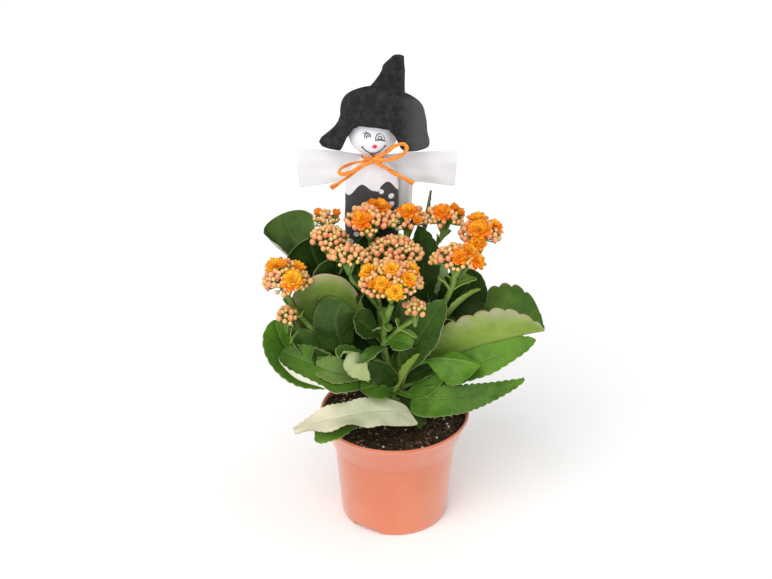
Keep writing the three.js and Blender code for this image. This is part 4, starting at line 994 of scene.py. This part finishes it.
# Buds stand in small rounded groups: they sink and stay young away from the middle of each.
def addBuds(buds, stalks, head, index, taken, rng):
    count, groups = round(head["buds"] * bud["more"]), max(4, round(head["buds"] / 2))
    groupRadius = 1.1 * math.sqrt(head["radius"][0] * head["radius"][1] / groups)
    centres = [domeOffset(head, math.sqrt((i + 0.5) / groups), i * goldenAngle + 2) for i in range(groups)]
    tips = []
    for i in range(count):
        reach = math.sqrt((i + 0.5) / count)
        dx, dy = domeOffset(head, reach, i * goldenAngle + index)
        off = min(1.2, min(math.hypot(dx - x, dy - y) for x, y in centres) / groupRadius)
        sunk = 1 - 2.6 * off**2 + (rng.uniform(-3, 0.4) if i % 5 == 0 else rng.uniform(-0.7, 0.5))
        at = onDome(head, dx, dy) + (rng.uniform(-0.8, 0.8), rng.uniform(-0.8, 0.8), sunk)
        age = 1.75 - 0.75 * off - 0.35 * reach - head["unripe"] + rng.uniform(-0.5, 0.2)
        age = min(1, max(0, age))
        radius = mix(*bud["radius"], age)
        if crowded(at, radius, taken):
            radius, age = bud["radius"][0] * rng.uniform(1, 1.3), 0.25
            if crowded(at, radius, taken):
                continue
        taken.append((at, radius))
        direction = at - hubOf(head) + (0, 0, 5)
        young = max(0.0, 1 - age * 1.7) * rng.uniform(0.6, 1)
        addBud(buds, at, direction, radius, rng.random(), young, rng)
        addCalyx(stalks, at, direction, radius)
        tips.append((at - radius * unit(direction), 0.5))
    return tips


def bowed(start, end, sag):
    t = np.linspace(0, 1, 5)[:, None]
    middle = (start + end) / 2 + (0, 0, sag)
    return (1 - t) ** 2 * start + 2 * t * (1 - t) * middle + t**2 * end


def addStalks(shape, head, tips):
    hub, count = hubOf(head), max(3, len(tips) // 5)
    forks = [mix(hub, onDome(head, *domeOffset(head, 0.62, i * goldenAngle)), 0.5) for i in range(count)]
    for fork in forks:
        path = bowed(hub - (0, 0, 3), fork, -1.5)
        shape.addRings(tubeRings(path, [1.5, 1.3, 1.2, 1.1, 1.0], 7), 0, 0.9)
    for tip, radius in tips:
        fork = min(forks, key=lambda place: np.linalg.norm(place - tip))
        radii = [0.9, radius, radius, radius, radius * 1.2]
        shape.addRings(tubeRings(bowed(fork, tip, -1.2), radii, 6), 0, 1.0)


def makeHeads(stalkMaterial):
    budLook, petalLook = budMaterial(), petalMaterial()
    taken = [(onDome(head, dx, dy), size - bloom[form]["room"])
             for head in heads for dx, dy, size, form in head["flowers"]]
    total = 0
    for index, head in enumerate(heads):
        rng = random.Random(500 + index)
        buds, stalks, petals = Shape(), Shape(), Shape()
        flowerTips = addFlowers(petals, stalks, head, rng)
        budTips = addBuds(buds, stalks, head, index, taken, rng)
        addStalks(stalks, head, flowerTips + budTips)
        total += len(budTips)
        makePiece(head["name"] + "_stalks", stalks, [stalkMaterial], [head["name"]])
        makePiece(head["name"] + "_buds", buds, [budLook], [head["name"]])
        if petals.count:
            makePiece(head["name"] + "_blooms", petals, [petalLook], [head["name"]])
    print("heads made, with", total, "buds")


# The doll, which stands behind the flowers.
# The levels of its body give a height, a half width and a half depth.

doll = {
    "x": -17, "y": 33, "stick": {"radius": 1.6, "foot": 46, "top": 316, "sides": 14},
    "head": {"z": 324, "radius": (19, 15.6, 20), "sides": 72, "rings": 40},
    "body": {"sides": 84, "levels": [
        (227, 12, 4), (227.6, 16.5, 5.6), (229.5, 19.6, 7.2), (234, 20.8, 8), (250, 21, 8.2),
        (266, 20.8, 8.3), (280, 20.6, 8), (289, 18.6, 8), (296, 14.5, 7.6), (301, 9.8, 6.8), (304, 7, 6.2),
        (306.5, 6.4, 5.8),
    ]},
    "sleeves": {
        "y": 42.7, "top": [(-76, 305.6), (-50, 303), (-17, 299.5), (14, 301.4), (48.3, 303.4)],
        "bottom": [(-74, 271.2), (-40, 276.8), (-17, 279), (14, 277), (46.4, 272.6)],
    },
    "strip": {"y": 43.4, "top": [(-2, 279), (14, 279)], "bottom": [(0, 252.2), (13, 253)]},
    "sheetThickness": 0.45,
    "cloth": (0.9, 0.9, 0.93), "clothShade": (0.8, 0.81, 0.87),
    "print": (0.045, 0.045, 0.048), "printWorn": (0.2, 0.2, 0.21), "printTop": 279.0,
    "printWaves": [(0.3, 4.0), (0.13, 2.5)], "spotRate": 0.085, "spotEdge": (0.2, 0.235),
    "ink": (0.02, 0.02, 0.024), "inkWorn": (0.07, 0.07, 0.08), "nose": (0.68, 0.03, 0.07),
    "noseLight": (0.8, 0.06, 0.1), "wood": (0.58, 0.39, 0.2), "woodDark": (0.36, 0.21, 0.09),
}
# The drawn lines of the face: a thickness and points across and up.
faceLines = [
    (0.41, [(-23.2, 325.2), (-22.7, 327.6), (-20.8, 328.9), (-19, 327.9), (-18.6, 325.8)]),
    (0.38, [(-21.7, 324.6), (-21.4, 326.6), (-20, 327.1), (-19.9, 325.9)]),
    (0.32, [(-22.9, 328), (-24, 329.4)]),
    (0.32, [(-21.6, 328.8), (-22.2, 330.4)]),
    (0.46, [(-15, 324), (-14.1, 327), (-12.4, 328.4), (-10.2, 327.9), (-8.7, 325.9), (-8.1, 323.2)]),
    (0.43, [(-13, 324.1), (-12.4, 326.1), (-10.8, 326.3), (-10, 324.2), (-11.4, 324.6)]),
    (0.62, [(-15.2, 323.3), (-11.5, 323.6), (-7.4, 321.9)]),
    (0.32, [(-9.4, 327.8), (-8.2, 329)]),
    (0.61, [(-24.8, 316.6), (-22.8, 313.8), (-20.6, 312.1), (-18, 310.9), (-14.6, 311.2), (-10.8, 313.5),
     (-7.6, 317.2)]),
    (0.54, [(-25.6, 315.9), (-24.3, 317.2)]),
    (0.54, [(-8.3, 317.8), (-6.8, 316.9)]),
    (0.68, [(-18.4, 310.8), (-17.6, 308.9), (-15.4, 308.2)]),
    (0.68, [(-4.3, 313.4), (-2.9, 315), (-1.6, 315.4)]),
]
# The nose: its middle, and rings of a radius that stand a little further out each.
nose = {"x": -15.5, "z": 317.8, "levels": [(1.75, -0.1), (1.8, 0.12), (1.55, 0.3), (0.8, 0.4)]}


def clothMaterial(name, printed=False):
    look = Look(name, Roughness=0.85, Sheen_Weight=0.15, Subsurface_Weight=0.1, Subsurface_Scale=0.003)
    x, z, _ = look.place()
    shade = look.spread(look.cloud(70, 4, 0.6), 0.35, 0.75)
    colour = look.blend(look.times(shade, 0.25), doll["cloth"], doll["clothShade"])
    if printed:
        # A plain spotted print: dark below a wavy line, with round white spots.
        waves = [look.times(look.sine(x, rate), height) for rate, height in doll["printWaves"]]
        top = look.minus(doll["printTop"], look.plus(*waves))
        dark = look.spread(look.minus(top, z), -0.35, 0.35)
        grid = look.stretched(x, doll["spotRate"], z, doll["spotRate"])
        spots = look.spread(look.cells(1.0, grid), *doll["spotEdge"], 1.0, 0.0)
        dark = look.times(dark, look.minus(1.0, spots))
        worn = look.spread(look.cloud(900, 2), 0.55, 0.8)
        ink = look.blend(look.times(worn, 0.35), doll["print"], doll["printWorn"])
        colour = look.blend(dark, colour, ink)
    weave = look.times(look.times(look.sine(x, 12.0), look.sine(z, 12.0)), 0.5)
    return look.cover(colour, look.plus(weave, look.cloud(110, 3)), 0.25, 0.0006)


def makeDollStick():
    stick = doll["stick"]
    look = Look("pale stick wood", Roughness=0.6)
    x, z, _ = look.place()
    lines = look.cloud(2.2, 4, 0.6, look.stretched(x, 1.8, z, 0.06))
    colour = look.blend(look.spread(lines, 0.35, 0.7), doll["woodDark"], doll["wood"])
    path = triples(doll["x"], doll["y"], np.linspace(stick["foot"], stick["top"], 30))
    place = [triples(around(stick["sides"]), z, 0) for z in path[:, 2]]
    material = look.cover(colour, lines, 0.4, 0.0003)
    rings = tubeRings(path, stick["radius"], stick["sides"], 1, 0.03)
    ringPiece("doll_stick_wood", rings, place, material, "doll_stick")


def makeDollHead():
    form = doll["head"]
    rx, ry, rz = form["radius"]
    angle = around(form["sides"])
    rings = []
    for i in range(form["rings"]):
        p = 0.1 + (math.pi - 0.2) * i / (form["rings"] - 1)
        down = max(0.0, -math.cos(p)) if i > form["rings"] / 2 else 0
        gather = max(0.0, 1 - i / 12)
        pucker = 1 + 0.045 * gather * np.sin(17 * angle + 1.3) + 0.02 * gather * np.sin(29 * angle)
        dents = 1 + 0.012 * np.sin(3 * angle + 2.2 * p) + 0.01 * np.sin(5 * angle - 3 * p)
        reach = math.sin(p) ** (1.16 if p < math.pi / 2 else 0.94) * pucker * dents
        z = form["z"] - rz * math.cos(p) + down
        rings.append(levelRing(doll["x"], doll["y"], z, rx * reach, ry * reach, angle))
    material = clothMaterial("white doll cloth")
    head = ringPiece("doll_head_cloth", rings, frontPlace(rings), material, "doll_head")


def headFront(x, z, proud):
    rx, ry, rz = doll["head"]["radius"]
    rest = 1 - ((x - doll["x"]) / rx) ** 2 - ((z - doll["head"]["z"]) / rz) ** 2
    return doll["y"] - ry * math.sqrt(max(rest, 0.0)) - proud


def makeDollFace():
    ink = Look("printed face ink", Roughness=0.7)
    inkColour = ink.blend(ink.cloud(1200, 2), doll["ink"], doll["inkWorn"])
    red = Look("printed red nose", Roughness=0.7)
    redColour = red.blend(red.spread(red.cloud(900, 2), 0.4, 0.7), doll["nose"], doll["noseLight"])
    centre = np.array([doll["x"], doll["y"], doll["head"]["z"]])
    turn = around(6)
    shape = Shape()
    for thick, points in faceLines:
        path = throughPoints([(x, 0, z) for x, z in points], 6 * len(points))
        path[:, 1] = [headFront(x, z, 0.12) for x, _, z in path]
        ends = 0.35 + 0.65 * np.sin(np.pi * np.linspace(0.06, 0.94, len(path))) ** 0.5
        outward = unit((path - centre) / np.square(doll["head"]["radius"]))
        side = unit(np.cross(unit(np.gradient(path, axis=0)), outward))
        wide = thick * ends[:, None, None] * np.cos(turn)[None, :, None] * side[:, None]
        shape.addRings(path[:, None] + wide + 0.13 * np.sin(turn)[None, :, None] * outward[:, None])
    rings = []
    for reach, proud in nose["levels"]:
        across, rise = nose["x"] + reach * np.cos(around(24)), nose["z"] + reach * np.sin(around(24))
        rings.append([(x, headFront(x, z, proud), z) for x, z in zip(across, rise)])
    shape.addRings(rings, 1, ends=(False, True))
    looks = [ink.cover(inkColour), red.cover(redColour)]
    makePiece("doll_face_print", shape, looks, ["doll_head"])


def makeDollBody():
    form = doll["body"]
    angle = around(form["sides"])
    c, s = np.cos(angle), np.sin(angle)
    heights, halfWidths, halfDepths = zip(*form["levels"])
    levels = np.concatenate([[227, 227.25, 227.8, 228.8, 230.5], np.linspace(233, 300, 30),
                             np.linspace(301, 306.5, 7)])
    rings = []
    for z in levels:
        rx, ry = np.interp(z, heights, halfWidths), np.interp(z, heights, halfDepths)
        gather = math.exp(-max(0.0, 303 - z) / 9)
        pucker = 1 + 0.06 * gather * np.sin(15 * angle) + 0.03 * gather * np.sin(26 * angle + 1)
        crease = 0.5 * np.sin(angle * 2 + z * 0.16) + 0.35 * np.sin(angle * 5 - z * 0.23)
        x = doll["x"] - 1 + (rx * pucker + 0.25 * crease) * np.sign(c) * np.abs(c) ** 0.8
        y = doll["y"] + (ry * pucker + 0.35 * crease) * np.sign(s) * np.abs(s) ** 0.8
        rings.append(triples(x, y, z))
    material = clothMaterial("printed doll cloth", True)
    body = ringPiece("doll_body_cloth", rings, frontPlace(rings), material, "doll_body")


# One cloth between a top and a bottom edge, as a thin closed sheet with folds.
def sheetShape(form, folds, columns, rows):
    u = np.concatenate([[0, 0.004], np.linspace(0.014, 0.986, columns - 4), [0.996, 1]])
    v = np.concatenate([[0, 0.014], np.linspace(0.05, 0.95, rows - 4), [0.986, 1]])
    fine = np.linspace(0, 1, 600)
    edges = []
    for points in (form["top"], form["bottom"]):
        line = throughPoints([(x, form["y"], z) for x, z in points], len(fine))
        edges.append(np.stack([np.interp(u, fine, line[:, i]) for i in range(3)], 1))
    loop = np.concatenate([v, v[::-1]])
    over = np.concatenate([np.ones(rows), -np.ones(rows)])
    rings, place = [], []
    for top, bottom in zip(*edges):
        ring = top + (bottom - top) * loop[:, None]
        ring[:, 1] += folds(ring[:, 0], loop) - over * doll["sheetThickness"] / 2
        rings.append(ring)
        place.append(triples(ring[:, 0], ring[:, 2], over))
    shape = Shape()
    shape.addRings(rings, place=place, ends=(False, False))
    for first, turned in ((0, False), ((columns - 1) * 2 * rows, True)):
        last = first + 2 * rows - 1
        quads = [[first + a, first + a + 1, last - a - 1, last - a] for a in range(rows - 1)]
        shape.addFaces([quad[::-1] for quad in quads] if turned else quads)
    return shape


def sleeveFolds(x, v):
    out = np.abs(x - doll["x"])
    near = 1.3 * np.exp(-out / 24) * np.sin(v * 13 + 0.6)
    wide = 0.7 * np.exp(-out / 45) * np.sin(v * 7 + out * 0.03)
    free = 0.6 * np.sin(x * 0.11 + 3 * v) * np.clip(out / 40, 0, 1) + 0.35 * np.sin(x * 0.27 - 5 * v)
    return near + wide + free


def stripFolds(x, v):
    return 0.5 * np.sin(x * 0.9 + v * 2)


def makeDollSleeves():
    look = clothMaterial("thin sleeve cloth")
    shape = sheetShape(doll["sleeves"], sleeveFolds, 90, 22)
    sleeves = makePiece("doll_sleeve_cloth", shape, [look], ["doll_sleeves"])
    shape = sheetShape(doll["strip"], stripFolds, 26, 24)
    strip = makePiece("doll_back_cloth", shape, [look], ["doll_sleeves"])


# The ribbon bow: runs of flat paper ribbon, each with a slow twist.
bow = {
    "width": 1.55, "flatness": 0.22, "sides": 14, "rows": 60,
    "ring": {"at": (-17.4, 33, 303.4), "rx": 8.2, "ry": 7.626, "rise": 0.6}, "knot": (-16.5, 21.4, 305),
    "wraps": (-0.5, 0.25, 0.9), "wrapRadius": (2.4, 2.2, 2.5), "wrapBack": 0.6,
    "runs": [
        [(-15, 20, 306), (-26, 18, 305.5), (-35, 18, 303), (-41.6, 19, 298.6), (-42.6, 18, 296),
         (-40, 17.4, 295.2), (-34, 17, 297), (-27, 17, 301.5), (-17, 18.6, 306)],
        [(-17, 20, 306), (-8, 17, 313), (0, 14, 320.5), (6.4, 12.6, 322.5), (8.6, 12, 319.8), (7, 12, 316),
         (1, 13.6, 311), (-8, 16, 307.6), (-17, 19, 306)],
        [(-17, 19.4, 305.5), (-30, 16.6, 298), (-38, 16.6, 291.6), (-49, 16.4, 284)],
        [(-16, 19.4, 305.5), (-7, 16.6, 300.6), (2, 16.6, 295), (14, 16.4, 288)],
    ],
    "orange": (0.88, 0.26, 0.014), "light": (1.0, 0.52, 0.12), "dark": (0.6, 0.11, 0.005),
}


def ribbonMaterial():
    look = Look("orange paper raffia", Roughness=0.5)
    along, across, _ = look.place()
    fibre = look.cloud(1.6, 4, 0.7, look.stretched(along, 0.07, across, 1.1))
    colour = look.blend(look.spread(fibre, 0.38, 0.52), bow["dark"], bow["orange"])
    colour = look.blend(look.spread(fibre, 0.52, 0.66), colour, bow["light"])
    return look.cover(colour, fibre, 0.6, 0.0005)


def addRibbon(shape, points, rng):
    path = throughPoints(points, bow["rows"])
    _, side, up = pathFrames(path)
    turn = around(bow["sides"])
    start, swing = math.pi / 2 + rng.uniform(-0.25, 0.25), rng.uniform(0.2, 0.5)
    lengths = lengthsAlong(path)
    rings, place = [], []
    for i, run in enumerate(lengths):
        twist = start + swing * math.sin(run * 0.07 + start * 3)
        end = max(0.0, 1 - (lengths[-1] - run) / 9)
        wide = bow["width"] * (1 + 0.14 * math.sin(run * 0.4 + start * 9) + 0.45 * end)
        thick = wide * bow["flatness"] * (1 + 0.25 * np.sin(3 * turn + run * 0.2))
        x, y = wide * np.cos(turn), thick * np.sin(turn)
        a, b = x * math.cos(twist) - y * math.sin(twist), x * math.sin(twist) + y * math.cos(twist)
        rings.append(crossRing(path[i], a, side[i], b, up[i]))
        place.append(triples(run, turn, 0))
    shape.addRings(rings, place=place)


def makeDollBow():
    rng = random.Random(31)
    shape = Shape()
    for run in bow["runs"]:
        addRibbon(shape, run, rng)
    ring, a = bow["ring"], np.linspace(0, fullTurn, 17)
    x, y, z = ring["at"]
    addRibbon(shape, levelRing(x, y, z + ring["rise"] * np.sin(2 * a), ring["rx"], ring["ry"], a), rng)
    a = np.linspace(0, fullTurn, 9)
    rx, ry, rz = bow["wrapRadius"]
    for lean in bow["wraps"]:
        across, rise = rx * math.sin(lean) * np.cos(a), rz * math.cos(lean) * np.cos(a)
        addRibbon(shape, bow["knot"] + triples(across, ry * np.sin(a) + bow["wrapBack"], rise), rng)
    makePiece("doll_bow_ribbon", shape, [ribbonMaterial()], ["doll_bow"])


# The hat: a floppy woven crown with its brim turned down, and a lining.
# Levels give a height share, a size and how far the left flap shows, and the edge a turn and a height.
# The lining gives a height share and an inset, and the peak a height, a middle and two radii.
hat = {
    "x": -9.5, "y": 36, "radius": (32, 24), "sides": 144, "crownZ": 352.5, "crownRise": 13, "flap": 17,
    "rightFlare": 3.5, "rightDrop": 6, "thread": 0.9, "clothRadius": 27, "clothRise": 36,
    "liningRise": 40, "peakRadius": 9.5,
    "levels": [(0, 0.985, 0.95), (0.06, 1.01, 1.0), (0.14, 1.015, 0.88), (0.24, 1.0, 0.6),
               (0.34, 0.995, 0.34), (0.46, 1.005, 0.12), (0.58, 1.015, 0), (0.7, 1.01, 0), (0.8, 0.99, 0),
               (0.88, 0.96, 0), (0.95, 0.9, 0), (1, 0.78, 0)],
    "edge": [(0, 310), (155, 312.5), (205, 312.5), (216, 313), (222, 324), (230, 333), (238, 336),
             (262, 336), (278, 334), (287, 328), (295, 318), (301, 314.5), (330, 312.5), (360, 310)],
    "lining": [(0.5, 1.6), (0.3, 1.4), (0.12, 1.2), (0.03, 1.0)],
    "peak": [(349, -8.8, 36, 17.4, 13), (353, -8.2, 36, 16, 11), (357, -6.6, 36, 14, 9),
             (362, -4.6, 36.3, 11.6, 7.4), (367, -3, 36.5, 9.8, 6.2), (371.5, -1.9, 36.8, 8.7, 5.4),
             (375, -1.8, 37, 8.2, 4.8),
             (377.6, -0.9, 37, 7.1, 4.2), (380.5, 0.7, 37, 5.6, 3.6), (382.8, 1.7, 37, 4.6, 3.1),
             (383.7, 2, 37, 3.4, 2.2), (384, 2.1, 37, 1.6, 1)],
    "charcoal": (0.014, 0.014, 0.0145), "threadLight": (0.06, 0.06, 0.058), "hole": (0.006, 0.006, 0.007),
    "rightHighlight": 0.6, "rightHighlightWidth": 0.022, "rightHighlightColour": (0.15, 0.155, 0.16),
    "lined": (0.012, 0.009, 0.008), "linedLight": (0.045, 0.03, 0.026),
}


def hatMaterial():
    look = Look("charcoal woven cloth", Roughness=0.9, Specular_IOR_Level=0.2)
    u, v, inner = look.place()
    warp, weft = look.sine(u, math.pi / hat["thread"]), look.sine(v, math.pi / hat["thread"])
    over = look.times(warp, weft)
    hole = look.spread(look.larger(look.unsigned(warp), look.unsigned(weft)), 0.35, 0.75, 1.0, 0.0)
    uneven = look.cloud(190, 4, 0.65)
    tone = look.spread(look.plus(look.times(over, 0.22), uneven), 0.38, 0.85)
    colour = look.blend(tone, hat["charcoal"], hat["threadLight"])
    # Painted highlight: the right side of the hat is painted a lighter grey.
    x = look.node("SeparateXYZ", look.here()).outputs[0]
    colour = look.blend(look.spread(x, 0.0, hat["rightHighlightWidth"], 0.0, hat["rightHighlight"]), colour, hat["rightHighlightColour"])
    colour = look.blend(look.times(hole, 0.85), colour, hat["hole"])
    colour = look.blend(inner, colour, look.blend(look.cloud(300, 2), hat["lined"], hat["linedLight"]))
    height = look.plus(look.times(over, 0.5), look.times(hole, -0.8))
    return look.cover(colour, look.plus(height, uneven), 0.6, 0.0006)


def hatRing(angle, t, inset):
    shares, sizes, flaps = zip(*hat["levels"])
    size, flap = np.interp(t, shares, sizes), np.interp(t, shares, flaps)
    front, right = np.maximum(-np.sin(angle), 0), np.maximum(np.cos(angle), 0)
    crown = hat["crownZ"] + hat["crownRise"] * front**0.8 * (1 - 0.4 * right) - hat["rightDrop"] * right
    wing = flap * hat["flap"] * np.maximum(np.cos(angle - 1.04 * math.pi), 0) ** 6
    sag = 0.6 * (1 - t) * (0.5 * np.sin(3 * angle + 1) + 0.4 * np.sin(7 * angle + 4 * t))
    flare = hat["rightFlare"] * right**2 * max(0.0, 1 - 1.4 * t)
    edge = np.interp(np.degrees(angle), *zip(*hat["edge"]))
    z = mix(edge, crown, t) + 0.8 * np.sin(5 * angle + 2) * (1 - t) * (0.3 if t < 0.02 else 0.15)
    rx, ry = np.array(hat["radius"]) * size - inset
    return levelRing(hat["x"], hat["y"], z, rx + wing + flare + sag, ry + 0.3 * wing + sag, angle)


def makeDollHat():
    angle = around(hat["sides"])
    rings, place = [], []
    for level, inset in hat["lining"]:
        rings.append(hatRing(angle, level, inset))
        place.append(triples(angle * hat["clothRadius"], level * hat["liningRise"], 1))
    for level in (*np.linspace(0, 0.9, 34), 0.93, 0.96, 0.985, 1):
        rings.append(hatRing(angle, level, 0.0))
        place.append(triples(angle * hat["clothRadius"], level * hat["clothRise"], 0))
    for i, (z, x, y, rx, ry) in enumerate(hat["peak"]):
        crease = 1 + 0.05 * np.sin(3 * angle + z * 0.12) + 0.03 * np.sin(8 * angle)
        lifted = z + 10 * np.maximum(-np.sin(angle), 0) * max(0.0, 1 - i / 3)
        rings.append(levelRing(x, y, lifted, rx * crease, ry * crease, angle))
        # The weave runs at a slant on the peak.
        across = angle * hat["peakRadius"]
        place.append(triples((across + z) * 0.707, (z - across) * 0.707, 0))
    ringPiece("doll_hat_cloth", rings, place, hatMaterial(), "doll_hat")


def makeDoll():
    makeDollStick()
    makeDollHead()
    makeDollFace()
    makeDollBody()
    makeDollSleeves()
    makeDollBow()
    makeDollHat()
    print("doll made")


makeCamera()
makeLights()
makePot()
makeSoil()
stalkMaterial = stemMaterial()
makeStems(stalkMaterial)
leafMaterials = {name: leafMaterial(name, tints) for name, tints in leafLooks.items()}
makeLeaves(leafMaterials)
makeSprigs(leafMaterials)
makeHeads(stalkMaterial)
makeDoll()
makeFloor()
